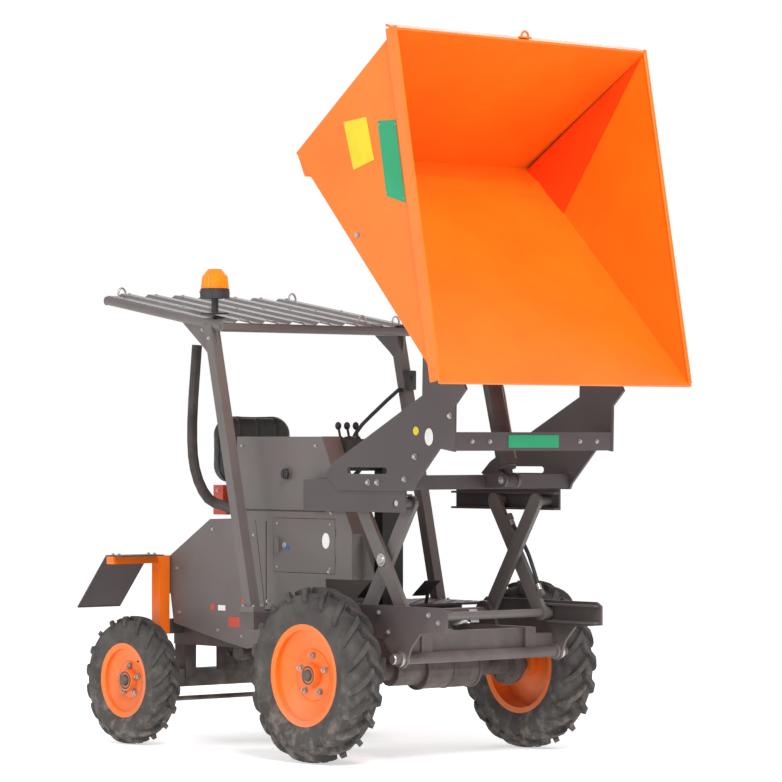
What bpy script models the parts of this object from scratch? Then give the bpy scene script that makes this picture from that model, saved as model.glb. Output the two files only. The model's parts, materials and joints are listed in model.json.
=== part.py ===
"""High-tip site dumper: a rigid chassis with a scissor lift that carries a tipping skip.

The machine faces +X, its left side is +Y and the ground is z = 0. It stands as it parks here,
with the lift raised and the skip tipped. Sizes are metres. Places along the machine are
measured from the front axle, and FRONT_AXLE_X moves the whole machine so that its outline
is centred on the origin.
"""

import math

import bmesh
import bpy
from mathutils import Matrix, Vector

# Running gear
FRONT_AXLE_X = 0.3448
WHEELBASE = 1.312
FRONT_TRACK = 1.24
REAR_TRACK = 1.20
FRONT_TYRE_RADIUS = 0.373
FRONT_TYRE_WIDTH = 0.180
FRONT_BEAD_RADIUS = 0.203
REAR_TYRE_RADIUS = 0.288
REAR_TYRE_WIDTH = 0.145
REAR_BEAD_RADIUS = 0.1525
FLANGE_HEIGHT = 0.018
SPINDLE_RADIUS = 0.026
KINGPIN_Y = 0.44
KINGPIN_RADIUS = 0.016
STEERING_ARM = 0.13
STEERING_STUD_RADIUS = 0.008
TIE_ROD_PLAY = 0.0008
MAX_STEER = math.radians(22)

# Chassis
RAIL_INNER_Y = 0.27
RAIL_OUTER_Y = 0.33
RAIL_BOTTOM = 0.44
RAIL_TOP = 0.56
RAIL_FRONT_X = 0.350
RAIL_REAR_X = -1.36
BODY_HALF_WIDTH = 0.40
SHEET = 0.004

# Scissor lift
ARM_LENGTH = 0.57
ARM_ANGLE = math.radians(58.4)
ARM_WIDTH = 0.066
ARM_THICKNESS = 0.020
ARM_A_INNER_Y = 0.350
ARM_B_INNER_Y = 0.380
LIFT_PIN_X = 0.022
LIFT_PIN_Z = 0.618
LIFT_PIN_RADIUS = 0.018
CHASSIS_ROLLER_RADIUS = 0.0315
CARRIER_ROLLER_RADIUS = 0.0295
ROLLER_GAP = 0.0005
GUIDE_WEB_Y = 0.441
TOWER_TOP = 0.672
GUIDE_PLATE = 0.012
GUIDE_FLANGE = 0.009
GUIDE_LIP_Y = 0.410
HOSE_RADIUS = 0.009
HOSE_SHARES = (0.13, 0.80)
PORT_LENGTH = 0.030
PORT_HEIGHT = 0.013

# Carrier and skip
CARRIER_PLATE_Y = 0.449
CARRIER_PLATE = 0.012
HINGE_X = 0.576
HINGE_Z = 1.860
HINGE_PIN_RADIUS = 0.016
SKIP_HALF_WIDTH = 0.72
SKIP_FOOT_HALF_WIDTH = 0.68
SKIP_WALL = 0.005
RIM_BAND = 0.060
RIM_THICKNESS = 0.010
LIP = Vector((0.907, 0.0, 1.600))
SKIP_TOP = Vector((0.632, 0.0, 3.058))
SKIP_CORNER = Vector((-0.054, 0.0, 2.590))

# Rams
TIP_BASE = Vector((0.536, 0.0, 1.200))
TIP_EYE_ALONG_FLOOR = 0.75
TIP_EYE_BELOW_FLOOR = 0.105
TIP_BARREL_RADIUS = 0.040
TIP_ROD_RADIUS = 0.022
TIP_BARREL_LENGTH = 0.485
LIFT_BASE = Vector((-0.360, 0.0, 0.440))
LIFT_BARREL_RADIUS = 0.035
LIFT_ROD_RADIUS = 0.018
LIFT_BARREL_LENGTH = 0.560
EYE_RADIUS = 0.030
EYE_HALF_WIDTH = 0.024
EYE_PIN_RADIUS = 0.0125
RAM_FIT = 0.0009
LUG_THICKNESS = 0.015
BARREL_NECK = 0.048
BARREL_END_WALL = 0.012
ROD_ENGAGEMENT = 0.040

# Operator's station
FLOOR_Z = 0.640
HOOD_TOP = 1.016
SHIELD_TOP = 1.385
POST_Y = 0.545
POST_WIDTH = 0.050
ROOF_HALF_WIDTH = 0.545
ROOF_FRONT = Vector((-0.735, 0.0, 1.868))
ROOF_REAR = Vector((-1.575, 0.0, 2.008))
ROOF_TUBE_RADIUS = 0.020

# Fits
SEAT_GAP = 0.0003
PIN_GAP = 0.0003
ROUND_SIDES = 16
SIDES = {"right": -1, "left": 1}

GREY = (0.235, 0.205, 0.200, 1.0)
DARK_GREY = (0.105, 0.085, 0.090, 1.0)
ORANGE = (0.95, 0.20, 0.015, 1.0)
BLACK = (0.02, 0.02, 0.02, 1.0)


# ---------------------------------------------------------------- tools

def start_empty_scene():
    for existing in list(bpy.data.objects):
        bpy.data.objects.remove(existing, do_unlink=True)
    collection = bpy.data.collections.new("site_dumper")
    bpy.context.scene.collection.children.link(collection)
    return collection


def paint(name, colour, roughness=0.5, metallic=0.0):
    material = bpy.data.materials.new(name)
    material.use_nodes = True
    shader = material.node_tree.nodes["Principled BSDF"]
    shader.inputs["Base Color"].default_value = colour
    shader.inputs["Roughness"].default_value = roughness
    shader.inputs["Metallic"].default_value = metallic
    return material


def from_bmesh(shape):
    mesh = bpy.data.meshes.new("shape")
    shape.to_mesh(mesh)
    shape.free()
    thing = bpy.data.objects.new("shape", mesh)
    bpy.context.scene.collection.objects.link(thing)
    return thing


def settled(thing):
    """Replace an object by its evaluated mesh, welded, in world space and facing out."""
    depsgraph = bpy.context.evaluated_depsgraph_get()
    mesh = bpy.data.meshes.new_from_object(thing.evaluated_get(depsgraph))
    shape = bmesh.new()
    shape.from_mesh(mesh)
    bmesh.ops.transform(shape, matrix=thing.matrix_world, verts=shape.verts)
    bmesh.ops.remove_doubles(shape, verts=shape.verts, dist=0.00001)
    bmesh.ops.recalc_face_normals(shape, faces=shape.faces)
    bpy.data.objects.remove(thing, do_unlink=True)
    bpy.data.meshes.remove(mesh)
    return from_bmesh(shape)


def box(x, y, z):
    """A block between the low and high values of each axis."""
    shape = bmesh.new()
    size = Vector((x[1] - x[0], y[1] - y[0], z[1] - z[0]))
    centre = Vector((sum(x), sum(y), sum(z))) / 2
    matrix = Matrix.Translation(centre) @ Matrix.Diagonal(size.to_4d())
    matrix[3][3] = 1.0
    bmesh.ops.create_cube(shape, size=1.0, matrix=matrix)
    return from_bmesh(shape)


def rod(start, end, radius, end_radius=None, sides=ROUND_SIDES):
    """A round bar between two points."""
    run = Vector(end) - Vector(start)
    turn = run.to_track_quat("Z", "Y").to_matrix().to_4x4()
    middle = (Vector(start) + Vector(end)) / 2
    shape = bmesh.new()
    bmesh.ops.create_cone(
        shape, cap_ends=True, segments=sides, radius1=radius,
        radius2=radius if end_radius is None else end_radius, depth=run.length,
        matrix=Matrix.Translation(middle) @ turn,
    )
    return from_bmesh(shape)


def cross_rod(x, z, low_y, high_y, radius, sides=ROUND_SIDES):
    """A round bar across the machine."""
    return rod((x, low_y, z), (x, high_y, z), radius, sides=sides)


def bore_radius(pin_radius):
    """The radius of a faceted bore whose flats clear a pin in any position."""
    return (pin_radius + PIN_GAP) / math.cos(math.pi / ROUND_SIDES)


def beam(start, end, width, height, side=Vector((0, 1, 0))):
    """A rectangular bar between two points, its width along side."""
    run = (Vector(end) - Vector(start))
    along = run.normalized()
    across = (side - along * side.dot(along)).normalized()
    up = along.cross(across)
    turn = Matrix((along, across, up)).transposed().to_4x4()
    middle = (Vector(start) + Vector(end)) / 2
    size = Matrix.Diagonal((run.length, width, height, 1.0))
    shape = bmesh.new()
    bmesh.ops.create_cube(shape, size=1.0, matrix=Matrix.Translation(middle) @ turn @ size)
    return from_bmesh(shape)


def plate(outline, y_low, y_high):
    """A flat plate whose outline of (x, z) points stands between two values of y."""
    curve = bpy.data.curves.new("outline", "CURVE")
    curve.dimensions = "2D"
    curve.fill_mode = "BOTH"
    curve.extrude = (y_high - y_low) / 2
    spline = curve.splines.new("POLY")
    spline.points.add(len(outline) - 1)
    for point, (x, z) in zip(spline.points, outline):
        point.co = (x, z, 0.0, 1.0)
    spline.use_cyclic_u = True
    thing = bpy.data.objects.new("outline", curve)
    bpy.context.scene.collection.objects.link(thing)
    thing.location.y = (y_low + y_high) / 2
    thing.rotation_euler.x = math.radians(90)
    bpy.context.view_layer.update()
    return settled(thing)


def tube(points, radius, resolution=2):
    """A round tube along points, with closed ends."""
    curve = bpy.data.curves.new("run", "CURVE")
    curve.dimensions = "3D"
    curve.bevel_depth = radius
    curve.bevel_resolution = resolution
    curve.use_fill_caps = True
    spline = curve.splines.new("POLY")
    spline.points.add(len(points) - 1)
    for point, place in zip(spline.points, points):
        point.co = (*place, 1.0)
    thing = bpy.data.objects.new("run", curve)
    bpy.context.scene.collection.objects.link(thing)
    bpy.context.view_layer.update()
    return settled(thing)


def smooth_route(points, steps=5):
    """Points along a smooth curve through the given ones."""
    places = [Vector(point) for point in points]
    places = [2 * places[0] - places[1], *places, 2 * places[-1] - places[-2]]
    route = []
    for a, b, c, d in zip(places, places[1:], places[2:], places[3:]):
        for step in range(steps):
            t = step / steps
            route.append(0.5 * (2 * b + (c - a) * t + (2 * a - 5 * b + 4 * c - d) * t ** 2
                                + (3 * b - a - 3 * c + d) * t ** 3))
    route.append(places[-2])
    return route


def turned(profile, x, y, z, outward, steps=32):
    """A closed ring turned about the y line through (x, z) from (radius, out) points."""
    shape = bmesh.new()
    corners = [shape.verts.new((radius, 0.0, out * outward)) for radius, out in profile]
    for corner, following in zip(corners, corners[1:] + corners[:1]):
        shape.edges.new((corner, following))
    thing = from_bmesh(shape)
    screw = thing.modifiers.new("turn", "SCREW")
    screw.steps = steps
    screw.render_steps = steps
    screw.use_merge_vertices = True
    screw.merge_threshold = 0.00001
    thing.matrix_world = Matrix.Translation((x, y, z)) @ Matrix.Rotation(math.radians(-90), 4, "X")
    bpy.context.view_layer.update()
    return settled(thing)


def joined(shapes, cutters=()):
    """One solid from shapes that overlap, less the cutters."""
    base = shapes[0]
    steps = [(other, "UNION") for other in shapes[1:]]
    steps += [(cutter, "DIFFERENCE") for cutter in cutters]
    for other, operation in steps:
        boolean = base.modifiers.new(operation.lower(), "BOOLEAN")
        boolean.operation = operation
        boolean.solver = "EXACT"
        boolean.object = other
    bpy.context.view_layer.update()
    result = settled(base)
    for other, operation in steps:
        bpy.data.objects.remove(other, do_unlink=True)
    return result


def arc(centre_x, centre_z, radius, first, last, count):
    """Points on a circle from the first to the last angle, in degrees."""
    angles = [math.radians(first + (last - first) * step / count) for step in range(count + 1)]
    return [(centre_x + radius * math.cos(a), centre_z + radius * math.sin(a)) for a in angles]


def link_outline(start, end, half_width):
    """The outline of a bar with round ends about two (x, z) points."""
    angle = math.degrees(math.atan2(end[1] - start[1], end[0] - start[0]))
    return (arc(*end, half_width, angle - 90, angle + 90, 8)
            + arc(*start, half_width, angle + 90, angle + 270, 8))


class Machine:
    """Collects the sub-parts, each under an empty on its joint."""

    def __init__(self, collection):
        self.collection = collection
        self.datum = self.empty("datum", Vector((0, 0, 0)), None)
        self.datum.location.x = FRONT_AXLE_X

    def empty(self, name, place, parent):
        holder = bpy.data.objects.new(name, None)
        holder.empty_display_size = 0.1
        self.collection.objects.link(holder)
        holder.location = place
        if parent is not None:
            holder.parent = parent
        return holder

    def joint(self, name, place, parent=None):
        """An empty at a place measured from the front axle."""
        above = self.datum if parent is None else parent
        holder = self.empty(name, Vector((0, 0, 0)), above)
        bpy.context.view_layer.update()
        holder.location = Vector(place) - (above.matrix_world.translation - self.datum.location)
        bpy.context.view_layer.update()
        return holder

    def add(self, name, thing, material, holder=None, smooth=False):
        """Name a finished shape and hang it on its holder without moving it."""
        above = self.datum if holder is None else holder
        for collection in list(thing.users_collection):
            collection.objects.unlink(thing)
        self.collection.objects.link(thing)
        thing.name = name
        thing.data.name = name
        thing.data.materials.clear()
        thing.data.materials.append(material)
        offset = above.matrix_world.translation - self.datum.location
        thing.data.transform(Matrix.Translation(-offset))
        thing.parent = above
        if smooth:
            thing.data.shade_smooth()
            thing.data.set_sharp_from_angle(angle=math.radians(35))
        return thing


# ---------------------------------------------------------------- places that follow

def lift_points():
    """The four pin places of the raised scissor, as (x, z)."""
    reach = ARM_LENGTH * math.cos(ARM_ANGLE)
    rise = ARM_LENGTH * math.sin(ARM_ANGLE)
    return {
        "fixed": (LIFT_PIN_X, LIFT_PIN_Z),
        "foot": (LIFT_PIN_X + reach, LIFT_PIN_Z),
        "crossing": (LIFT_PIN_X + reach / 2, LIFT_PIN_Z + rise / 2),
        "front_top": (LIFT_PIN_X + reach, LIFT_PIN_Z + rise),
        "rear_top": (LIFT_PIN_X, LIFT_PIN_Z + rise),
    }


def floor_place(along, below):
    """A place from the skip's lip, along its floor and below it, as (x, z)."""
    run = (SKIP_CORNER - LIP).normalized()
    out = Vector((-run.z, 0, run.x))
    spot = LIP + run * along + out * below
    return spot.x, spot.z


def wheel_profiles(tyre_radius, tyre_width, bead_radius):
    """Closed (radius, out) outlines of a dished rim and of its tyre."""
    flange = bead_radius + FLANGE_HEIGHT
    half_rim = tyre_width * 0.39
    seat = half_rim * 0.80
    bore = bore_radius(SPINDLE_RADIUS)
    barrel = bead_radius - 0.009
    rim = [
        (bore, -0.035), (0.054, -0.035), (0.056, 0.004), (bead_radius * 0.55, 0.004), (barrel, half_rim * 0.36),
        (barrel, -half_rim + 0.005), (flange, -half_rim), (bead_radius, -seat), (bead_radius, seat),
        (flange, half_rim), (barrel, half_rim - 0.006), (barrel, half_rim * 0.60),
        (bead_radius * 0.55, 0.016), (0.054, 0.016), (0.046, 0.045), (bore, 0.045),
    ]
    wall = tyre_radius - flange
    half = tyre_width / 2
    bead = bead_radius + SEAT_GAP
    side = [
        (bead, seat - 0.001), (flange + 0.002, half_rim), (flange + wall * 0.25, half * 0.97),
        (flange + wall * 0.65, half), (flange + wall * 0.93, half * 0.84), (tyre_radius, half * 0.55),
    ]
    tyre = side + [(radius, -out) for radius, out in reversed(side)]
    return rim, tyre


# ---------------------------------------------------------------- running gear

def make_wheel(machine, name, x, y, radius, width, bead_radius, holder, paints):
    rim_profile, tyre_profile = wheel_profiles(radius, width, bead_radius)
    outward = 1 if y > 0 else -1
    rim = turned(rim_profile, x, y, radius, outward)
    tyre = turned(tyre_profile, x, y, radius, outward)
    machine.add("rim_" + name, rim, paints["orange"], holder, smooth=True)
    machine.add("tyre_" + name, tyre, paints["rubber"], holder, smooth=True)


def make_front_axle(machine, paints):
    z = FRONT_TYRE_RADIUS
    wheel_y = FRONT_TRACK / 2
    shapes = [
        cross_rod(0, z, -0.47, 0.47, 0.040),
        cross_rod(0, z, -0.05, 0.26, 0.085),
        cross_rod(0, z, -0.21, -0.04, 0.066),
        box((-0.20, 0.0), (0.05, 0.17), (z - 0.055, z + 0.055)),
    ]
    for side in SIDES.values():
        shapes.append(cross_rod(0, z, side * 0.46, side * 0.515, 0.085))
        shapes.append(cross_rod(0, z, side * 0.50, side * (wheel_y + 0.046), SPINDLE_RADIUS))
        shapes.append(box((-0.05, 0.05), sorted((side * RAIL_INNER_Y, side * RAIL_OUTER_Y)),
                          (z, RAIL_BOTTOM - SEAT_GAP)))
    machine.add("front_axle", joined(shapes), paints["dark"], smooth=True)


def make_rear_axle(machine, paints):
    x = -WHEELBASE
    z = REAR_TYRE_RADIUS
    shapes = [box((x - 0.035, x + 0.035), (-KINGPIN_Y + 0.02, KINGPIN_Y - 0.02), (z - 0.04, z + 0.04))]
    bores = []
    for side in SIDES.values():
        y = side * KINGPIN_Y
        shapes.append(rod((x, y, z - 0.048), (x, y, z + 0.048), 0.036))
        shapes.append(box((x - 0.04, x + 0.04), sorted((side * RAIL_INNER_Y, side * RAIL_OUTER_Y)),
                          (z, RAIL_BOTTOM - SEAT_GAP)))
        bores.append(rod((x, y, z - 0.1), (x, y, z + 0.1), bore_radius(KINGPIN_RADIUS)))
    machine.add("rear_axle", joined(shapes, bores), paints["dark"], smooth=True)


def make_knuckle(machine, side_name, side, holder, paints):
    x = -WHEELBASE
    z = REAR_TYRE_RADIUS
    y = side * KINGPIN_Y
    wheel_y = side * REAR_TRACK / 2
    arm_z = z - 0.075
    shapes = [
        rod((x, y, z - 0.070), (x, y, z + 0.070), KINGPIN_RADIUS),
        rod((x, y, z + 0.0495), (x, y, z + 0.075), 0.034),
        rod((x, y, z - 0.090), (x, y, z - 0.0495), 0.034),
        box((x - 0.028, x + 0.028), sorted((y + side * 0.044, y + side * 0.070)), (z - 0.088, z + 0.074)),
        box((x - 0.026, x + 0.026), sorted((y, y + side * 0.060)), (z + 0.0495, z + 0.074)),
        box((x - 0.026, x + 0.026), sorted((y, y + side * 0.060)), (z - 0.088, z - 0.0495)),
        cross_rod(x, z, y + side * 0.060, wheel_y + side * 0.046, SPINDLE_RADIUS),
        box((x - STEERING_ARM, x), sorted((y - side * 0.014, y + side * 0.014)), (arm_z - 0.008, arm_z + 0.008)),
        rod((x - STEERING_ARM, y, arm_z - 0.008), (x - STEERING_ARM, y, arm_z + 0.008), 0.018),
        rod((x - STEERING_ARM, y, arm_z - 0.050), (x - STEERING_ARM, y, arm_z), STEERING_STUD_RADIUS),
    ]
    machine.add("steering_knuckle_" + side_name, joined(shapes), paints["dark"], holder, smooth=True)


def make_tie_rod(machine, holder, paints):
    x = -WHEELBASE - STEERING_ARM
    z = REAR_TYRE_RADIUS - 0.075 - 0.032
    hole = STEERING_STUD_RADIUS + TIE_ROD_PLAY
    slot = STEERING_ARM * (1 - math.cos(MAX_STEER)) + TIE_ROD_PLAY
    shapes = [cross_rod(x, z, -KINGPIN_Y + hole + 0.004, KINGPIN_Y - hole - 0.004, 0.011)]
    bores = []
    for side in SIDES.values():
        y = side * KINGPIN_Y
        shapes.append(box((x - hole - 0.010, x + slot + hole + 0.010), (y - hole - 0.010, y + hole + 0.010),
                          (z - 0.013, z + 0.013)))
        bores.append(box((x - hole, x + slot + hole), (y - hole, y + hole), (z - 0.1, z + 0.1)))
    machine.add("tie_rod", joined(shapes, bores), paints["dark"], holder, smooth=True)


# ---------------------------------------------------------------- chassis

def tower_outline():
    """The side plate that carries the lower guide, with its nose over the front tube."""
    return [
        (-0.120, 0.600), (0.000, TOWER_TOP), (0.610, TOWER_TOP), (0.640, 0.655), (0.640, 0.572),
        (0.480, 0.560), (0.420, 0.500), *arc(0.356, 0.450, 0.040, 0, -180, 8), (0.240, 0.530),
        (-0.100, 0.540),
    ]


def ram_base_pin(base):
    """The pin through a ram's base eye, from the outside of one lug to the other's."""
    reach = EYE_HALF_WIDTH + 0.005 + LUG_THICKNESS - 0.002
    return cross_rod(base.x, base.z, -reach, reach, EYE_PIN_RADIUS * math.cos(math.pi / ROUND_SIDES) - PIN_GAP)


def make_chassis(machine, paints):
    pins = lift_points()
    shapes = []
    bores = []
    channel = CHASSIS_ROLLER_RADIUS + ROLLER_GAP
    for side in SIDES.values():
        rail_y = sorted((side * RAIL_INNER_Y, side * RAIL_OUTER_Y))
        web_y = sorted((side * GUIDE_WEB_Y, side * (GUIDE_WEB_Y + GUIDE_PLATE)))
        lip_y = sorted((side * GUIDE_LIP_Y, side * (GUIDE_WEB_Y + 0.004)))
        shapes.append(box((RAIL_REAR_X, RAIL_FRONT_X), rail_y, (RAIL_BOTTOM, RAIL_TOP)))
        shapes.append(plate(tower_outline(), *web_y))
        for low in (pins["foot"][1] + channel, pins["foot"][1] - channel - GUIDE_FLANGE):
            shapes.append(box((pins["foot"][0] - 0.06, 0.632), lip_y, (low, low + GUIDE_FLANGE)))
        tie_y = sorted((side * (RAIL_OUTER_Y - 0.01), side * (GUIDE_WEB_Y + 0.004)))
        shapes.append(box((-0.08, -0.02), tie_y, (0.500, RAIL_TOP - 0.004)))
        shapes.append(box((0.300, RAIL_FRONT_X - 0.010), tie_y, (RAIL_BOTTOM - 0.006, 0.530)))
        ear = [(-0.070, 0.530), (-0.050, 0.600),
               *arc(*pins["fixed"], 0.046, 150, 30, 8), (0.095, 0.600), (0.115, 0.530)]
        shapes.append(plate(ear, *sorted((side * 0.318, side * 0.338))))
        outrigger_y = sorted((side * RAIL_INNER_Y, side * (POST_Y + 0.035)))
        shapes.append(box((-0.57, -0.47), outrigger_y, (0.545, 0.620)))
        bores.append(cross_rod(*pins["fixed"], side * 0.30, side * 0.345, bore_radius(LIFT_PIN_RADIUS)))
    shapes.append(cross_rod(0.356, 0.450, -0.495, 0.495, 0.024))
    shapes.append(box((0.270, RAIL_FRONT_X - 0.022), (-0.28, 0.28), (RAIL_BOTTOM + 0.004, RAIL_TOP - 0.004)))
    shapes.append(box((-0.46, -0.40), (-0.28, 0.28), (RAIL_BOTTOM + 0.004, RAIL_TOP - 0.004)))
    shapes.append(box((RAIL_REAR_X + 0.004, -1.30), (-0.409, 0.409), (0.490, RAIL_TOP - 0.004)))
    for side in SIDES.values():
        lug = [(-0.43, 0.47), (-0.43, 0.50), (-0.36, 0.48),
               *arc(LIFT_BASE.x, LIFT_BASE.z, 0.032, 60, -120, 8), (-0.43, 0.446)]
        inner = EYE_HALF_WIDTH + 0.005
        shapes.append(plate(lug, *sorted((side * inner, side * (inner + LUG_THICKNESS)))))
    shapes.append(ram_base_pin(LIFT_BASE))
    machine.add("chassis_frame", joined(shapes, bores), paints["dark_grey"])


def make_engine(machine, paints):
    shapes = [
        box((-1.17, -0.78), (-0.30, 0.30), (RAIL_TOP + SEAT_GAP, 0.90)),
        box((-1.15, -0.80), (-0.25, 0.25), (0.33, 0.70)),
    ]
    machine.add("engine", joined(shapes), paints["dark"])


# ---------------------------------------------------------------- scissor lift

def make_arm_a(machine, holder, paints):
    pins = lift_points()
    outer = ARM_A_INNER_Y + ARM_THICKNESS
    shapes = [cross_rod(*pins["fixed"], -ARM_A_INNER_Y - 0.010, ARM_A_INNER_Y + 0.010, LIFT_PIN_RADIUS)]
    for side in SIDES.values():
        outline = link_outline(pins["fixed"], pins["front_top"], ARM_WIDTH / 2)
        shapes.append(plate(outline, *sorted((side * ARM_A_INNER_Y, side * outer))))
        shapes.append(cross_rod(*pins["front_top"], side * (ARM_A_INNER_Y + 0.010),
                                side * (CARRIER_PLATE_Y - 0.002), LIFT_PIN_RADIUS))
        shapes.append(cross_rod(*pins["crossing"], side * (ARM_A_INNER_Y + 0.010),
                                side * (ARM_B_INNER_Y + ARM_THICKNESS), LIFT_PIN_RADIUS))
    machine.add("scissor_arm_inner", joined(shapes), paints["grey"], holder)


def make_arm_b(machine, holder, paints):
    pins = lift_points()
    outer = ARM_B_INNER_Y + ARM_THICKNESS
    shapes = [cross_rod(*pins["foot"], -ARM_B_INNER_Y - 0.010, ARM_B_INNER_Y + 0.010, LIFT_PIN_RADIUS)]
    bores = []
    for side in SIDES.values():
        outline = link_outline(pins["foot"], pins["rear_top"], ARM_WIDTH / 2)
        shapes.append(plate(outline, *sorted((side * ARM_B_INNER_Y, side * outer))))
        roller_y = (side * (outer - 0.004), side * (GUIDE_WEB_Y - 0.005))
        shapes.append(cross_rod(*pins["foot"], *roller_y, CHASSIS_ROLLER_RADIUS))
        shapes.append(cross_rod(*pins["rear_top"], *roller_y, CARRIER_ROLLER_RADIUS))
        bores.append(cross_rod(*pins["crossing"], side * 0.37, side * 0.41, bore_radius(LIFT_PIN_RADIUS)))
    for share in HOSE_SHARES:
        low = hose_place(share - PORT_LENGTH / 2 / ARM_LENGTH, ARM_WIDTH / 2 + PORT_HEIGHT - 0.001)
        high = hose_place(share + PORT_LENGTH / 2 / ARM_LENGTH, ARM_WIDTH / 2 + PORT_HEIGHT - 0.001)
        shapes.append(beam(low, high, ARM_THICKNESS - 0.001, 2 * PORT_HEIGHT))
    machine.add("scissor_arm_outer", joined(shapes, bores), paints["grey"], holder)


def carrier_outline():
    """The carrier's side plate: a sloping top edge, a slot's land and an ear for the hinge."""
    return [
        (-0.130, 1.225), (-0.070, 1.276), (0.354, 1.484), (0.500, 1.556), (0.505, 1.780),
        *arc(HINGE_X, HINGE_Z, 0.042, 190, -10, 10), (0.771, 1.580), (0.703, 1.515),
        (0.699, 1.321), (0.606, 1.335), (0.449, 1.180), (0.436, 1.156), (-0.037, 1.156),
    ]


def make_carrier(machine, holder, paints):
    pins = lift_points()
    channel = CARRIER_ROLLER_RADIUS + ROLLER_GAP
    shapes = []
    bores = []
    for side in SIDES.values():
        plate_y = sorted((side * CARRIER_PLATE_Y, side * (CARRIER_PLATE_Y + CARRIER_PLATE)))
        web_y = sorted((side * GUIDE_WEB_Y, side * (CARRIER_PLATE_Y + 0.002)))
        lip_y = sorted((side * GUIDE_LIP_Y, side * (GUIDE_WEB_Y + 0.004)))
        shapes.append(plate(carrier_outline(), *plate_y))
        low_lip = pins["rear_top"][1] - channel - GUIDE_FLANGE
        guide_x = (pins["rear_top"][0] - 0.310, pins["front_top"][0] + 0.060)
        shapes.append(box(guide_x, web_y, (low_lip, 1.200)))
        for low in (low_lip, pins["rear_top"][1] + channel):
            shapes.append(box(guide_x, lip_y, (low, low + GUIDE_FLANGE)))
        bores.append(cross_rod(*pins["front_top"], side * 0.42, side * (CARRIER_PLATE_Y + 0.003),
                               bore_radius(LIFT_PIN_RADIUS)))
        bores.append(cross_rod(HINGE_X, HINGE_Z, side * 0.43, side * 0.48, bore_radius(HINGE_PIN_RADIUS)))
        slot = [*arc(0.262, 1.240, 0.014, -90, 90, 6), *arc(0.030, 1.240, 0.014, 90, 270, 6)]
        bores.append(plate(slot, *sorted((side * 0.42, side * 0.48))))
        inner = EYE_HALF_WIDTH + 0.005
        lug = [(0.405, 1.166), (0.530, 1.168), *arc(TIP_BASE.x, TIP_BASE.z, 0.032, -60, 100, 8),
               (0.405, 1.216)]
        shapes.append(plate(lug, *sorted((side * inner, side * (inner + LUG_THICKNESS)))))
    half = CARRIER_PLATE_Y + 0.004
    shapes.append(box((0.664, 0.6985), (-half, half), (1.325, 1.403)))
    shapes.append(box((0.400, 0.4355), (-half, half), (1.161, 1.222)))
    shapes.append(ram_base_pin(TIP_BASE))
    machine.add("carrier_frame", joined(shapes, bores), paints["carrier"], holder)


# ---------------------------------------------------------------- skip

def make_skip(machine, holder, paints):
    shape = bmesh.new()
    corners = {}
    for side in SIDES.values():
        corners["lip", side] = shape.verts.new((LIP.x, side * SKIP_HALF_WIDTH, LIP.z))
        corners["top", side] = shape.verts.new((SKIP_TOP.x, side * SKIP_HALF_WIDTH, SKIP_TOP.z))
        corners["foot", side] = shape.verts.new((SKIP_CORNER.x, side * SKIP_FOOT_HALF_WIDTH, SKIP_CORNER.z))
    shape.faces.new((corners["lip", -1], corners["lip", 1], corners["foot", 1], corners["foot", -1]))
    shape.faces.new((corners["foot", -1], corners["foot", 1], corners["top", 1], corners["top", -1]))
    shape.faces.new((corners["lip", -1], corners["foot", -1], corners["top", -1]))
    shape.faces.new((corners["lip", 1], corners["top", 1], corners["foot", 1]))
    bmesh.ops.recalc_face_normals(shape, faces=shape.faces)
    shell = from_bmesh(shape)
    wall = shell.modifiers.new("wall", "SOLIDIFY")
    wall.thickness = SKIP_WALL
    wall.offset = 0.0
    wall.use_even_offset = True
    shell = settled(shell)
    inward = (SKIP_CORNER - (LIP + SKIP_TOP) / 2).normalized()
    shapes = [shell]
    mouth = SKIP_TOP - LIP
    for side in SIDES.values():
        edge = Vector((0, side * (SKIP_HALF_WIDTH + RIM_THICKNESS / 2 - 0.002), 0)) + inward * RIM_BAND / 2
        shapes.append(beam(LIP + edge, SKIP_TOP + edge, RIM_THICKNESS, RIM_BAND))
        low, high = sorted((side * 0.405, side * 0.437))
        outline = [floor_place(*place) for place in (
            (0.18, -0.002), (0.33, 0.092), (0.50, 0.092), (0.60, 0.060), (1.18, 0.060), (1.30, -0.002))]
        shapes.append(plate(outline, low, high))
        shapes.append(cross_rod(HINGE_X, HINGE_Z, side * 0.420, side * 0.470, HINGE_PIN_RADIUS))
        eye = floor_place(TIP_EYE_ALONG_FLOOR, TIP_EYE_BELOW_FLOOR)
        inner = EYE_HALF_WIDTH + 0.005
        ear = [floor_place(TIP_EYE_ALONG_FLOOR - 0.10, -0.002),
               *arc(*eye, 0.032, 314, 134, 8), floor_place(TIP_EYE_ALONG_FLOOR + 0.10, -0.002)]
        shapes.append(plate(ear, *sorted((side * inner, side * (inner + LUG_THICKNESS)))))
    reach = SKIP_HALF_WIDTH + RIM_THICKNESS - 0.002
    top_edge = inward * RIM_BAND / 2 + mouth.normalized() * 0.003
    shapes.append(beam(SKIP_TOP + top_edge - Vector((0, reach, 0)), SKIP_TOP + top_edge + Vector((0, reach, 0)),
                       RIM_BAND, RIM_THICKNESS, side=inward))
    foot = [(-0.052, 2.586), (-0.004, 2.488), (0.052, 2.482), (0.074, 2.462), (0.030, 2.520)]
    shapes.append(plate(foot, -SKIP_FOOT_HALF_WIDTH, SKIP_FOOT_HALF_WIDTH))
    bores = [cross_rod(*floor_place(TIP_EYE_ALONG_FLOOR, TIP_EYE_BELOW_FLOOR), -0.06, 0.06, EYE_PIN_RADIUS)]
    machine.add("skip", joined(shapes, bores), paints["orange"], holder)


# ---------------------------------------------------------------- rams

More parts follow.
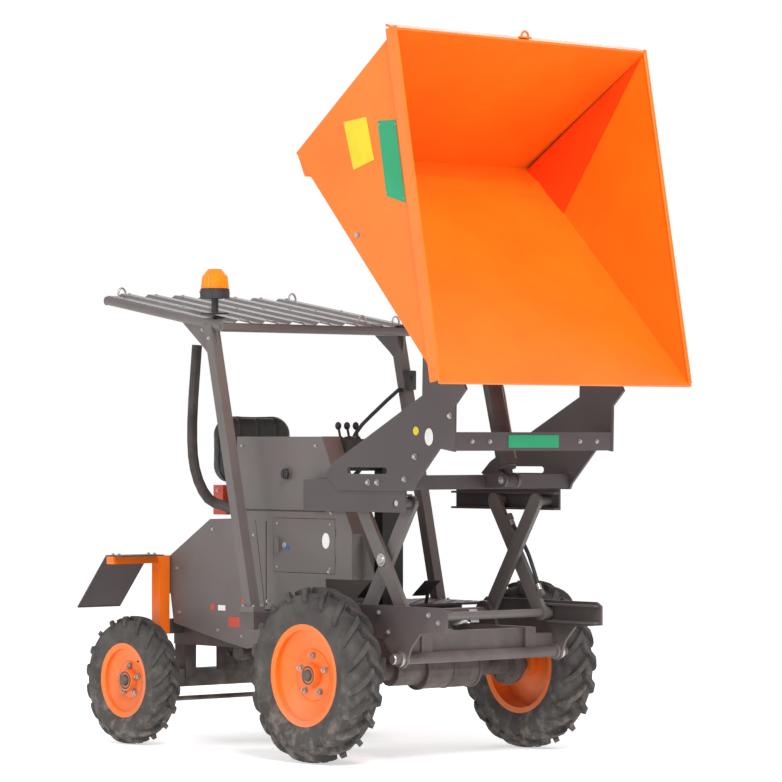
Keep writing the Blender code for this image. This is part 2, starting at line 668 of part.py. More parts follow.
def make_ram(machine, names, base, tip, barrel_length, radii, rod_end, holders, paints):
    """A barrel hung at its base eye, and a rod whose end is made by rod_end."""
    along = (tip - base).normalized()
    barrel_radius, rod_radius = radii
    barrel = [
        rod(base + along * BARREL_NECK, base + along * barrel_length, barrel_radius),
        rod(base + along * EYE_PIN_RADIUS, base + along * (BARREL_NECK + 0.004), EYE_HALF_WIDTH * 0.92),
        cross_rod(base.x, base.z, -EYE_HALF_WIDTH, EYE_HALF_WIDTH, EYE_RADIUS),
    ]
    closed_end = BARREL_NECK + BARREL_END_WALL
    bore = [
        rod(base + along * closed_end, base + along * (barrel_length + 0.1), rod_radius + RAM_FIT),
        cross_rod(base.x, base.z, -0.1, 0.1, EYE_PIN_RADIUS),
    ]
    machine.add(names[0], joined(barrel, bore), paints["dark"], holders[0], smooth=True)
    ends, cuts = rod_end(tip, along)
    rod_start = base + along * (barrel_length - ROD_ENGAGEMENT)
    shapes = [rod(rod_start, tip - along * 0.020, rod_radius), *ends]
    machine.add(names[1], joined(shapes, cuts), paints["chrome"], holders[1], smooth=True)


def full_eye(tip, along):
    ends = [cross_rod(tip.x, tip.z, -EYE_HALF_WIDTH, EYE_HALF_WIDTH, EYE_RADIUS)]
    return ends, [cross_rod(tip.x, tip.z, -0.1, 0.1, EYE_PIN_RADIUS)]


def open_cup(tip, along):
    """A cup behind the foot shaft, open to the front so that the shaft can lead it."""
    ends = [cross_rod(tip.x, tip.z, -EYE_HALF_WIDTH, EYE_HALF_WIDTH, EYE_RADIUS)]
    front = tip + along * 0.044
    cuts = [
        cross_rod(tip.x, tip.z, -0.1, 0.1, bore_radius(LIFT_PIN_RADIUS)),
        beam(front - along * 0.050, front + along * 0.050, 0.2, 0.2),
    ]
    return ends, cuts


# ---------------------------------------------------------------- operator's station

def make_hood(machine, paints):
    """The engine cover: a bent top sheet between two side sheets, open underneath."""
    path = [(-0.607, RAIL_TOP + SEAT_GAP + SHEET / 5), (-0.684, HOOD_TOP), (-1.005, HOOD_TOP),
            (-1.324, 0.831), (-1.283, 0.600)]
    half = BODY_HALF_WIDTH - SHEET / 2
    shape = bmesh.new()
    rows = [[shape.verts.new((x, y, z)) for x, z in path] for y in (-half, half)]
    for index in range(len(path) - 1):
        shape.faces.new((rows[0][index], rows[0][index + 1], rows[1][index + 1], rows[1][index]))
    sheet = from_bmesh(shape)
    wall = sheet.modifiers.new("wall", "SOLIDIFY")
    wall.thickness = SHEET
    wall.offset = 1.0
    wall.use_even_offset = True
    shapes = [settled(sheet)]
    outline = [(-0.607, 0.480), *path[:4], (-1.272, 0.541), (-0.900, 0.470), (-0.740, 0.445)]
    for side in SIDES.values():
        low, high = sorted((side * (BODY_HALF_WIDTH - SHEET), side * BODY_HALF_WIDTH))
        shapes.append(plate(outline, low, high))
    machine.add("engine_hood", joined(shapes), paints["grey"])


CONSOLE_FOLD = 0.100
SPLASH_PLATE_Y = 0.345
COLUMN_END = Vector((-0.492, 0.0, 1.285))
STEERING_CENTRE = Vector((-0.520, 0.0, 1.2885))
DOOR_X = (-0.552, -0.138)
DOOR_Z = (0.793, 1.027)
DOOR_GAP = 0.003
DOOR_HINGE = Vector((-0.1340, -0.4025, 0.0))


def make_side_console(machine, paints):
    """The right-hand side sheet beside the footwell, folded inwards at its front and top."""
    front_top = (-0.225, SHIELD_TOP)
    front_bottom = (-0.025, 0.975)
    base = 0.770
    outline = [
        (-0.812, SHIELD_TOP), front_top, front_bottom, (front_bottom[0], base), (-0.200, base), (-0.200, 0.625),
        (-0.612, 0.625), (-0.679, HOOD_TOP + SEAT_GAP), (-0.812, HOOD_TOP + SEAT_GAP),
    ]
    outer = -BODY_HALF_WIDTH
    fold_y = outer + (CONSOLE_FOLD + 0.001) / 2
    shapes = [
        plate(outline, outer, outer + SHEET),
        box((-0.812, front_top[0]), (outer + 0.001, -0.340), (SHIELD_TOP - SHEET, SHIELD_TOP)),
        beam((front_top[0], fold_y, front_top[1]), (front_bottom[0], fold_y, front_bottom[1]),
             CONSOLE_FOLD - 0.001, SHEET),
        plate([(front_bottom[0] - SHEET, front_bottom[1] - SHEET), (0.075, base), (front_bottom[0] - SHEET, base)],
              -SPLASH_PLATE_Y, -SPLASH_PLATE_Y + SHEET),
        box((front_bottom[0] - SHEET, front_bottom[0]), (outer + 0.001, -SPLASH_PLATE_Y + SHEET - 0.001),
            (base + 0.001, front_bottom[1] - 2 * SHEET)),
        cross_rod(-0.454, 1.222, outer - 0.012, outer + 0.001, 0.026),
    ]
    opening = box((DOOR_X[0] - DOOR_GAP, DOOR_X[1] + DOOR_GAP), (outer - 0.02, outer + 0.02),
                  (DOOR_Z[0] - DOOR_GAP, DOOR_Z[1] + DOOR_GAP))
    machine.add("side_console", joined(shapes, [opening]), paints["grey"])


def make_access_door(machine, holder, paints):
    outer = -BODY_HALF_WIDTH
    x, y = DOOR_HINGE.x, DOOR_HINGE.y
    shapes = [box(DOOR_X, (outer, outer + SHEET), DOOR_Z)]
    for height in (0.83, 0.95):
        shapes.append(rod((x, y, height), (x, y, height + 0.04), 0.0022, sides=12))
        shapes.append(box((x - 0.020, x), (y - 0.0015, outer - 0.0005), (height, height + 0.04)))
        shapes.append(box((x - 0.020, DOOR_X[1] - 0.001), (outer - 0.002, outer + 0.001), (height, height + 0.04)))
    shapes.append(box((DOOR_X[0] + 0.015, DOOR_X[0] + 0.045), (outer - 0.012, outer + 0.001), (0.88, 0.94)))
    machine.add("access_door", joined(shapes), paints["grey"], holder)


def make_floor(machine, paints):
    shapes = [box((-0.560, -0.100), (-0.385, 0.500), (FLOOR_Z, FLOOR_Z + 0.010))]
    for side in SIDES.values():
        shapes.append(box((-0.450, -0.110), sorted((side * 0.285, side * 0.315)),
                          (RAIL_TOP + SEAT_GAP, FLOOR_Z + 0.002)))
    machine.add("footwell_floor", joined(shapes), paints["dark_grey"])


def make_dash(machine, paints):
    outline = [(-0.345, 1.300), (-0.325, 1.375), (-0.170, 1.375), (-0.185, 1.280), (-0.250, 1.235)]
    shapes = [
        plate(outline, -BODY_HALF_WIDTH + CONSOLE_FOLD + SEAT_GAP, 0.150),
        box((-0.270, -0.215), (-0.060, 0.060), (FLOOR_Z + 0.010 + SEAT_GAP, 1.300)),
        rod((-0.300, 0, 1.260), COLUMN_END, 0.022),
    ]
    machine.add("dash_column", joined(shapes), paints["dark"])


def make_steering_wheel(machine, paints):
    """A three-spoke wheel at the end of the column, leaning towards the seat."""
    centre = STEERING_CENTRE
    axis = (centre - COLUMN_END).normalized()
    hub_back = (centre - COLUMN_END).length - SEAT_GAP
    lean = math.atan2(-axis.x, axis.z)
    turn = Matrix.Translation(centre) @ Matrix.Rotation(-lean, 4, "Y")
    bpy.ops.mesh.primitive_torus_add(major_radius=0.090, minor_radius=0.011,
                                     major_segments=24, minor_segments=8)
    ring = bpy.context.object
    ring.matrix_world = turn
    bpy.context.view_layer.update()
    shapes = [settled(ring), rod(centre - axis * hub_back, centre + axis * 0.012, 0.026)]
    for angle in (90, 210, 330):
        reach = turn @ Vector((0.090 * math.cos(math.radians(angle)), 0.090 * math.sin(math.radians(angle)), 0))
        shapes.append(rod(centre, reach, 0.007, sides=8))
    machine.add("steering_wheel", joined(shapes), paints["black"], smooth=True)


def make_seat(machine, paints):
    base = [
        box((-1.150, -0.780), (-0.160, 0.160), (HOOD_TOP + SEAT_GAP, 1.084)),
        box((-1.235, -1.140), (-0.200, 0.200), (1.030, 1.084)),
        box((-1.235, -1.165), (-0.200, 0.200), (1.030, 1.165)),
    ]
    machine.add("seat_base", joined(base), paints["red"])
    cushion = box((-1.120, -0.700), (-0.220, 0.220), (1.084 + SEAT_GAP, 1.185))
    backrest = box((-1.250, -1.155), (-0.215, 0.215), (1.165 + SEAT_GAP, 1.485))
    for name, thing in (("seat_cushion", cushion), ("seat_backrest", backrest)):
        edge = thing.modifiers.new("edge", "BEVEL")
        edge.width = 0.020
        edge.segments = 2
        machine.add(name, settled(thing), paints["seat"])


def roof_place(x, y, lift=0.0):
    """A place on the roof frame's plane, or above it."""
    run = ROOF_REAR - ROOF_FRONT
    share = (x - ROOF_FRONT.x) / run.x
    return Vector((x, y, ROOF_FRONT.z + run.z * share + lift))


def make_rops(machine, paints):
    """The roll-over frame: two leaning posts with feet, a sloping roof frame and corner gussets."""
    post_top = roof_place(-0.815, 0).z
    shapes = []
    for side in SIDES.values():
        y = side * POST_Y
        half = POST_WIDTH / 2
        outline = [(-0.550, 0.640), (-0.500, 0.640), (-0.790, post_top), (-0.840, post_top)]
        shapes.append(plate(outline, y - half, y + half))
        shapes.append(box((-0.565, -0.475), (y - 0.034, y + 0.034), (0.620 + SEAT_GAP, 0.645)))
        shapes.append(rod(roof_place(ROOF_FRONT.x, y), roof_place(ROOF_REAR.x, y), ROOF_TUBE_RADIUS, sides=16))
        gusset = [(-0.770, 1.700), (-0.755, 1.870), (-0.820, post_top), (-1.060, roof_place(-1.06, 0).z),
                  (-1.040, 1.915), (-0.860, 1.780)]
        shapes.append(plate(gusset, y - 0.006, y + 0.006))
    for end in (ROOF_FRONT.x, ROOF_REAR.x, -1.150):
        reach = ROOF_HALF_WIDTH + (0.012 if end != -1.150 else 0.0)
        shapes.append(rod(roof_place(end, -reach), roof_place(end, reach), ROOF_TUBE_RADIUS, sides=16))
    machine.add("rops_frame", joined(shapes), paints["grey"])


def make_roof(machine, paints):
    """A ribbed sheet lying on the roof frame, its ribs running from front to rear."""
    ribs = 7
    pitch = 2 * ROOF_HALF_WIDTH / ribs
    rise = 0.012
    section = []
    for rib in range(ribs):
        left = -ROOF_HALF_WIDTH + rib * pitch
        section += [(left, 0.0), (left + pitch * 0.40, 0.0), (left + pitch * 0.52, rise), (left + pitch * 0.88, rise)]
    section.append((ROOF_HALF_WIDTH, 0.0))
    base = ROOF_TUBE_RADIUS + 0.001 + SEAT_GAP
    shape = bmesh.new()
    rows = []
    for x in (ROOF_FRONT.x + 0.01, ROOF_REAR.x - 0.01):
        rows.append([shape.verts.new(roof_place(x, y, base + height)) for y, height in section])
    for index in range(len(section) - 1):
        shape.faces.new((rows[0][index], rows[0][index + 1], rows[1][index + 1], rows[1][index]))
    sheet = from_bmesh(shape)
    wall = sheet.modifiers.new("wall", "SOLIDIFY")
    wall.thickness = 0.002
    wall.offset = 0.0
    machine.add("roof_sheet", settled(sheet), paints["roof"])


def make_beacon(machine, paints):
    x, y = -0.845, -0.500
    foot = roof_place(x, y, ROOF_TUBE_RADIUS + 0.0328)
    stand = [
        rod(foot + Vector((0, 0, -0.006)), foot + Vector((0, 0, 0.080)), 0.016),
        rod(foot + Vector((0, 0, 0.060)), foot + Vector((0, 0, 0.092)), 0.066, sides=32),
        box((x - 0.05, x + 0.05), (y - 0.04, y + 0.04), (foot.z - 0.010, foot.z - 0.004)),
    ]
    machine.add("beacon_base", joined(stand), paints["black"], smooth=True)
    low = foot.z + 0.092 + SEAT_GAP
    dome = [rod((x, y, low), (x, y, low + 0.070), 0.060, 0.054, sides=32),
            rod((x, y, low + 0.068), (x, y, low + 0.098), 0.054, 0.030, sides=32)]
    machine.add("beacon_dome", joined(dome), paints["amber"], smooth=True)


def make_exhaust(machine, paints):
    y = -0.350
    foot = Vector((-0.860, y, HOOD_TOP + SEAT_GAP))
    bends = [(-0.860, y, 1.025), (-0.920, y, 1.065), (-1.080, y, 1.105), (-1.180, y, 1.240), (-1.200, y, 1.450),
             (-1.165, y, 1.800)]
    route = [foot, *smooth_route(bends, steps=3)]
    machine.add("exhaust_pipe", tube(route, 0.024, resolution=3), paints["dark"], smooth=True)


def make_grab_rail(machine, paints):
    inner = POST_Y - POST_WIDTH / 2 - SEAT_GAP
    x = -0.980
    foot = Vector((x, 0.380, HOOD_TOP + SEAT_GAP))
    bends = [(-0.750, inner - 0.020, 1.600), (-0.860, 0.480, 1.520), (-0.960, 0.420, 1.400),
             (x, 0.385, 1.250), (x, 0.380, 1.050)]
    route = [Vector((-0.750, inner, 1.600)), *smooth_route(bends, steps=3), foot]
    machine.add("grab_rail", tube(route, 0.009), paints["dark"], smooth=True)


def make_mudguard(machine, side_name, side, paints):
    """An orange bracket on the chassis end, and the bent plate it holds over the rear wheel."""
    post_y = sorted((side * 0.4093, side * 0.465))
    arm_y = sorted((side * 0.4093, side * 0.725))
    shapes = [box((-1.350, -1.290), post_y, (0.490, 0.846)), box((-1.345, -1.295), arm_y, (0.812, 0.846))]
    machine.add("mudguard_bracket_" + side_name, joined(shapes), paints["orange"])
    thickness = 0.006
    top = 0.846 + thickness / 2 + SEAT_GAP
    path = [(-1.240, top), (-1.355, top), (-1.400, 0.800), (-1.570, 0.612)]
    low, high = sorted((side * 0.480, side * 0.720))
    shape = bmesh.new()
    rows = [[shape.verts.new((x, y, z)) for x, z in path] for y in (low, high)]
    for index in range(len(path) - 1):
        shape.faces.new((rows[0][index], rows[0][index + 1], rows[1][index + 1], rows[1][index]))
    bend = from_bmesh(shape)
    wall = bend.modifiers.new("wall", "SOLIDIFY")
    wall.thickness = thickness
    wall.offset = 0.0
    wall.use_even_offset = True
    machine.add("mudguard_" + side_name, settled(bend), paints["dark_grey"])


def hose_place(share, reach):
    """A place beside the left outer arm: a share of the way up it and a reach off its centre line."""
    pins = lift_points()
    foot = Vector((pins["foot"][0], 0, pins["foot"][1]))
    run = Vector((pins["rear_top"][0], 0, pins["rear_top"][1])) - foot
    out = Vector((run.z, 0, -run.x)).normalized()
    return foot + run * share + out * reach + Vector((0, ARM_B_INNER_Y + ARM_THICKNESS / 2, 0))


def make_hose(machine, holder, paints):
    """A hydraulic hose along the left outer arm's edge, between the arm's two port blocks."""
    reach = ARM_WIDTH / 2 + PORT_HEIGHT
    low, high = HOSE_SHARES
    gap = (PORT_LENGTH / 2 + SEAT_GAP) / ARM_LENGTH
    bends = [(low + gap + 0.03, reach), (low + 0.15, reach + 0.008), (0.5, reach + 0.018),
             (high - 0.15, reach + 0.008), (high - gap - 0.03, reach)]
    route = smooth_route([hose_place(*bend) for bend in bends], steps=4)
    route = [hose_place(low + gap, reach), *route, hose_place(high - gap, reach)]
    machine.add("lift_hose", tube(route, HOSE_RADIUS), paints["black"], holder, smooth=True)


# ---------------------------------------------------------------- the whole machine

def main():
    machine = Machine(start_empty_scene())
    paints = {
        "grey": paint("warm_grey_paint", GREY),
        "dark_grey": paint("chassis_paint", DARK_GREY),
        "carrier": paint("carrier_paint", DARK_GREY),
        "orange": paint("orange_paint", ORANGE, 0.35),
        "red": paint("red_paint", (0.6, 0.08, 0.03, 1.0), 0.4),
        "dark": paint("dark_steel", (0.06, 0.055, 0.055, 1.0), 0.6, 0.2),
        "black": paint("black_rubber_and_plastic", BLACK, 0.6),
        "rubber": paint("tyre_rubber", (0.03, 0.03, 0.03, 1.0), 0.85),
        "chrome": paint("chromed_rod", (0.7, 0.7, 0.72, 1.0), 0.15, 1.0),
        "seat": paint("seat_vinyl", (0.035, 0.035, 0.037, 1.0), 0.6),
        "roof": paint("galvanised_sheet", (0.45, 0.45, 0.46, 1.0), 0.45, 0.6),
        "amber": paint("amber_lens", (0.95, 0.30, 0.01, 1.0), 0.15),
    }
    pins = lift_points()

    arm_a = machine.joint("lift_axis", (pins["fixed"][0], 0, pins["fixed"][1]))
    arm_b = machine.joint("crossing_axis", (pins["crossing"][0], 0, pins["crossing"][1]), arm_a)
    carrier = machine.joint("carrier_axis", (pins["front_top"][0], 0, pins["front_top"][1]), arm_a)
    skip = machine.joint("skip_axis", (HINGE_X, 0, HINGE_Z), carrier)
    tip_barrel = machine.joint("tip_barrel_axis", TIP_BASE, carrier)
    tip_rod = machine.joint("tip_rod_slide", TIP_BASE, tip_barrel)
    lift_barrel = machine.joint("lift_barrel_axis", LIFT_BASE)
    lift_rod = machine.joint("lift_rod_slide", LIFT_BASE, lift_barrel)
    door = machine.joint("door_axis", DOOR_HINGE)
    tie_rod = machine.joint("tie_rod_slide", (-WHEELBASE - STEERING_ARM, 0, REAR_TYRE_RADIUS))

    make_chassis(machine, paints)
    make_engine(machine, paints)
    make_front_axle(machine, paints)
    make_rear_axle(machine, paints)
    make_tie_rod(machine, tie_rod, paints)
    for side_name, side in SIDES.items():
        front = machine.joint("front_wheel_axis_" + side_name, (0, side * FRONT_TRACK / 2, FRONT_TYRE_RADIUS))
        make_wheel(machine, "front_" + side_name, 0, side * FRONT_TRACK / 2, FRONT_TYRE_RADIUS,
                   FRONT_TYRE_WIDTH, FRONT_BEAD_RADIUS, front, paints)
        kingpin = machine.joint("kingpin_" + side_name, (-WHEELBASE, side * KINGPIN_Y, REAR_TYRE_RADIUS))
        make_knuckle(machine, side_name, side, kingpin, paints)
        rear = machine.joint("rear_wheel_axis_" + side_name,
                             (-WHEELBASE, side * REAR_TRACK / 2, REAR_TYRE_RADIUS), kingpin)
        make_wheel(machine, "rear_" + side_name, -WHEELBASE, side * REAR_TRACK / 2, REAR_TYRE_RADIUS,
                   REAR_TYRE_WIDTH, REAR_BEAD_RADIUS, rear, paints)
        make_mudguard(machine, side_name, side, paints)

    make_arm_a(machine, arm_a, paints)
    make_arm_b(machine, arm_b, paints)
    make_carrier(machine, carrier, paints)
    make_skip(machine, skip, paints)
    tip_x, tip_z = floor_place(TIP_EYE_ALONG_FLOOR, TIP_EYE_BELOW_FLOOR)
    make_ram(machine, ("tip_ram_barrel", "tip_ram_rod"), TIP_BASE, Vector((tip_x, 0, tip_z)),
             TIP_BARREL_LENGTH, (TIP_BARREL_RADIUS, TIP_ROD_RADIUS), full_eye, (tip_barrel, tip_rod), paints)
    make_ram(machine, ("lift_ram_barrel", "lift_ram_rod"), LIFT_BASE, Vector((pins["foot"][0], 0, pins["foot"][1])),
             LIFT_BARREL_LENGTH, (LIFT_BARREL_RADIUS, LIFT_ROD_RADIUS), open_cup, (lift_barrel, lift_rod), paints)
    make_hose(machine, arm_b, paints)

    make_hood(machine, paints)
    make_side_console(machine, paints)
    make_access_door(machine, door, paints)
    make_floor(machine, paints)
    make_dash(machine, paints)
    make_steering_wheel(machine, paints)
    make_seat(machine, paints)
    make_rops(machine, paints)
    make_roof(machine, paints)
    make_beacon(machine, paints)
    make_exhaust(machine, paints)
    make_grab_rail(machine, paints)


main()
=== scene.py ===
"""The looks of a high-tip site dumper: tread, fasteners, padding, hoses, plates and finishes on its frame."""

import json
import math

import bmesh
import bpy
from mathutils import Matrix, Vector


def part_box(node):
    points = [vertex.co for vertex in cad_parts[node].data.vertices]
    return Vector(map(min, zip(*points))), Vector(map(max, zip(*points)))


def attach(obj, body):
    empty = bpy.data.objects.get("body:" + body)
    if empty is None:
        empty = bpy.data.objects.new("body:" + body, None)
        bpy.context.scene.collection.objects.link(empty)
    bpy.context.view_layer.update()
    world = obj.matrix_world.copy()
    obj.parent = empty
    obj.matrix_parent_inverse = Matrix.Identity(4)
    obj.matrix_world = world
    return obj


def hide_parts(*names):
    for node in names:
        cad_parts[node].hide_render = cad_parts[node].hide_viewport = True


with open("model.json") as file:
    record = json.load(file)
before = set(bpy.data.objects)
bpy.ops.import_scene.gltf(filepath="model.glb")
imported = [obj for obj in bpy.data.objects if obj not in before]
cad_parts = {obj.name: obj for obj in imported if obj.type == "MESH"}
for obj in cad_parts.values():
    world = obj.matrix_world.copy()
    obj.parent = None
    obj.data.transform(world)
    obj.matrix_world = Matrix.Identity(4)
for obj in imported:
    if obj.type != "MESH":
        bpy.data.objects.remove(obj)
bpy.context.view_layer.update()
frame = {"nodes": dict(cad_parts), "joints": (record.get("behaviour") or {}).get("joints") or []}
NODES = frame["nodes"]
JOINTS = {joint["name"]: joint for joint in frame["joints"]}
SIDES = {"right": -1, "left": 1}
SURFACE_GAP = 0.0006
RIGHT = (0, -1, 0)
UP = (0, 0, 1)
OVAL = 0.72
LABEL_DEPTH = 0.0012
LABEL_SUNK = 0.0004
PAD_INSET = 0.005
PAD_CHANNELS = 4
PIPING_RADIUS = 0.0042

bl_info = {
    "name": "Site dumper looks",
    "version": (1, 0, 0),
    "blender": (4, 5, 0),
    "location": "View3D > Sidebar > Dumper",
    "description": "Adds tread, fasteners, seat padding, hoses, blank plates and finishes to a site dumper",
    "category": "Object",
}


# ---------------------------------------------------------------- places

def joint_place(name):
    return Vector(JOINTS[name]["pos_m"])


def centre(node):
    low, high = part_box(node)
    return (low + high) / 2


def both_sides():
    """Each side's sign with the direction that points out on it."""
    return [(side, Vector((0, side, 0))) for side in SIDES.values()]


def flange_radius(end, side_name):
    low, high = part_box(f"rim_{end}_{side_name}")
    return (high.z - low.z) / 2


def lift_pins():
    """The scissor's pin places in the side view, each at y = 0."""
    fixed = joint_place("lift")
    front_top = joint_place("carrier_level")
    return {
        "fixed": Vector((fixed.x, 0, fixed.z)),
        "front_top": Vector((front_top.x, 0, front_top.z)),
        "foot": Vector((front_top.x, 0, fixed.z)),
        "rear_top": Vector((fixed.x, 0, front_top.z)),
        "crossing": Vector(((fixed.x + front_top.x) / 2, 0, (fixed.z + front_top.z) / 2)),
    }


# ---------------------------------------------------------------- shader nodes

class Number:
    """A shader socket that takes part in Python sums."""

    def __init__(self, shader, socket):
        self.shader = shader
        self.socket = socket

    def _sum(self, operation, first, second):
        made = self.shader.node("ShaderNodeMath", {"operation": operation}, {0: first, 1: second})
        return Number(self.shader, made.outputs[0])

    def __add__(self, other):
        return self._sum("ADD", self, other)

    __radd__ = __add__

    def __sub__(self, other):
        return self._sum("SUBTRACT", self, other)

    def __rsub__(self, other):
        return self._sum("SUBTRACT", other, self)

    def __mul__(self, other):
        return self._sum("MULTIPLY", self, other)

    __rmul__ = __mul__

    def clamped(self, low=0.0, high=1.0):
        values = {"Value": self, "From Min": low, "From Max": high}
        made = self.shader.node("ShaderNodeMapRange", {"clamp": True}, values)
        return Number(self.shader, made.outputs[0])


class Shader:
    """A material's node tree with a Principled shader."""

    def __init__(self, name, **constants):
        self.material = bpy.data.materials.new(name)
        self.material.use_nodes = True
        self.tree = self.material.node_tree
        self.principled = self.tree.nodes["Principled BSDF"]
        for socket, value in constants.items():
            self.principled.inputs[socket.replace("_", " ")].default_value = value
        self.place = self.node("ShaderNodeTexCoord").outputs["Object"]

    def node(self, kind, settings=None, values=None):
        made = self.tree.nodes.new(kind)
        for name, setting in (settings or {}).items():
            setattr(made, name, setting)
        for socket, value in (values or {}).items():
            self.feed(made.inputs[socket], value)
        return made

    def feed(self, socket, value):
        if isinstance(value, Number):
            value = value.socket
        if isinstance(value, bpy.types.NodeSocket):
            self.tree.links.new(value, socket)
        else:
            socket.default_value = value

    def stretched(self, scale):
        return self.node("ShaderNodeMapping", None, {"Vector": self.place, "Scale": scale}).outputs[0]

    def noise(self, scale, detail=4.0, roughness=0.6, place=None):
        values = {"Vector": place or self.place, "Scale": scale, "Detail": detail, "Roughness": roughness}
        return Number(self, self.node("ShaderNodeTexNoise", None, values).outputs["Fac"])

    def cells(self, scale):
        values = {"Vector": self.place, "Scale": scale}
        return Number(self, self.node("ShaderNodeTexVoronoi", None, values).outputs["Distance"])

    def vertical(self, vector):
        return Number(self, self.node("ShaderNodeSeparateXYZ", None, {0: vector}).outputs["Z"])

    def below(self, top, reach=None):
        """How far a point lies below a height, as a share of a reach."""
        return (top - self.vertical(self.place)).clamped(0.0, reach or top)

    def upward(self):
        return self.vertical(self.node("ShaderNodeNewGeometry").outputs["Normal"])

    def edges(self, radius):
        """How far a surface's normal turns within a radius: high along the edges."""
        rounded = self.node("ShaderNodeBevel", {"samples": 4}, {"Radius": radius}).outputs[0]
        flat = self.node("ShaderNodeNewGeometry").outputs["Normal"]
        made = self.node("ShaderNodeVectorMath", {"operation": "DOT_PRODUCT"}, {0: rounded, 1: flat})
        return 1.0 - Number(self, made.outputs["Value"])

    def mix(self, share, first, second):
        made = self.node("ShaderNodeMix", {"data_type": "RGBA"}, {0: share, 6: first, 7: second})
        return made.outputs[2]

    def bump(self, height, strength, distance=0.001):
        values = {"Strength": strength, "Distance": distance, "Height": height}
        self.feed(self.principled.inputs["Normal"], self.node("ShaderNodeBump", None, values).outputs[0])

    def set(self, **links):
        for socket, value in links.items():
            self.feed(self.principled.inputs[socket.replace("_", " ")], value)
        return self.material


def tone(colour, factor):
    return (*(min(1.0, channel * factor) for channel in colour[:3]), 1.0)


DUST = (0.36, 0.30, 0.25, 1.0)
DUSTY_BELOW = 0.55


def painted(name, colour, gloss=0.42, wear=0.35, dusty_below=DUSTY_BELOW):
    """Sprayed paint: faint mottle and orange peel, scuffs through to primer, and dust low down and on tops."""
    shader = Shader(name, IOR=1.5, Coat_Roughness=0.25)
    mottle = shader.noise(3.0, 5.0)
    base = shader.mix(mottle.clamped(0.35, 0.68), tone(colour, 0.90), tone(colour, 1.08))
    scratches = shader.noise(26.0, 8.0, 0.72, shader.stretched((1.0, 1.0, 0.35)))
    scuffed = (scratches.clamped(0.66, 0.80) * shader.noise(1.7, 2.0).clamped(0.46, 0.66) * wear).clamped()
    base = shader.mix(scuffed, base, tone(colour, 0.45))
    rubbed = shader.edges(0.004).clamped(0.03, 0.22) * shader.noise(14.0, 5.0).clamped(0.42, 0.62)
    base = shader.mix((rubbed * wear * 1.6).clamped(), base, tone(colour, 2.2))
    settled = shader.below(dusty_below) * 0.75 + shader.upward().clamped(0.75, 1.0) * 0.22
    dirt = settled * shader.noise(5.5, 6.0).clamped(0.30, 0.72)
    base = shader.mix(dirt.clamped(0.0, 1.1), base, DUST)
    rough = gloss + dirt * 0.35 + scuffed * 0.25 + (mottle - 0.5) * 0.12
    shader.bump(shader.noise(420.0, 2.0) + scuffed * -0.8, 0.10, 0.0006)
    return shader.set(Base_Color=base, Roughness=rough.clamped(), Coat_Weight=0.10)


def bare_metal(name, colour, rough=0.45, grime=0.4, cast=False):
    """Machined or cast metal with oily patches and, when cast, a sandy surface."""
    shader = Shader(name, Metallic=0.35 if cast else 0.9)
    patches = shader.noise(7.0, 6.0).clamped(0.38, 0.68)
    base = shader.mix(patches * grime, colour, tone(colour, 0.35))
    dirt = shader.below(DUSTY_BELOW) * 0.8 * shader.noise(9.0, 5.0).clamped(0.35, 0.7)
    base = shader.mix(dirt.clamped(), base, DUST)
    shader.bump(shader.noise(160.0 if cast else 60.0, 3.0), 0.30 if cast else 0.08, 0.0008)
    return shader.set(Base_Color=base, Roughness=(rough + patches * 0.25).clamped())


def tyre_rubber(name, colour):
    """Rubber that is grey with dust in its hollows and darker where it is rubbed."""
    shader = Shader(name, Specular_IOR_Level=0.35)
    patches = shader.noise(9.0, 7.0, 0.65)
    base = shader.mix(patches.clamped(0.35, 0.70), colour, tone(colour, 2.1))
    earth = shader.noise(22.0, 6.0).clamped(0.48, 0.78) * shader.below(DUSTY_BELOW, 0.6)
    base = shader.mix((earth * 0.8).clamped(), base, DUST)
    shader.bump(shader.noise(240.0, 4.0) + shader.cells(70.0) * 0.3, 0.25, 0.0008)
    return shader.set(Base_Color=base, Roughness=(0.72 + patches * 0.22).clamped())


def vinyl(name, colour):
    """Coated cloth with a fine leather grain, shinier where it is sat on."""
    shader = Shader(name, Sheen_Weight=0.08, Sheen_Roughness=0.4)
    worn = shader.noise(6.0, 4.0)
    grain = shader.cells(420.0) + shader.noise(900.0, 2.0) * 0.4
    base = shader.mix(worn.clamped(0.35, 0.7), colour, tone(colour, 1.9))
    shader.bump(grain, 0.35, 0.0006)
    return shader.set(Base_Color=base, Roughness=(0.42 + worn * 0.28).clamped())


def moulded_plastic(name, colour, rough=0.5):
    """Moulded plastic or hose rubber with a faint grain."""
    shader = Shader(name)
    worn = shader.noise(12.0, 5.0)
    base = shader.mix(worn.clamped(0.40, 0.72), colour, tone(colour, 1.6))
    shader.bump(shader.noise(500.0, 2.0), 0.15, 0.0005)
    return shader.set(Base_Color=base, Roughness=(rough + worn * 0.2).clamped())


def chromed(name):
    """A hard-chromed rod with a thin film of oil."""
    shader = Shader(name, Metallic=1.0)
    film = shader.noise(14.0, 4.0, place=shader.stretched((1.0, 1.0, 6.0)))
    base = shader.mix(film.clamped(0.45, 0.75), (0.72, 0.72, 0.74, 1.0), (0.50, 0.48, 0.45, 1.0))
    return shader.set(Base_Color=base, Roughness=(film * 0.22 + 0.04).clamped())


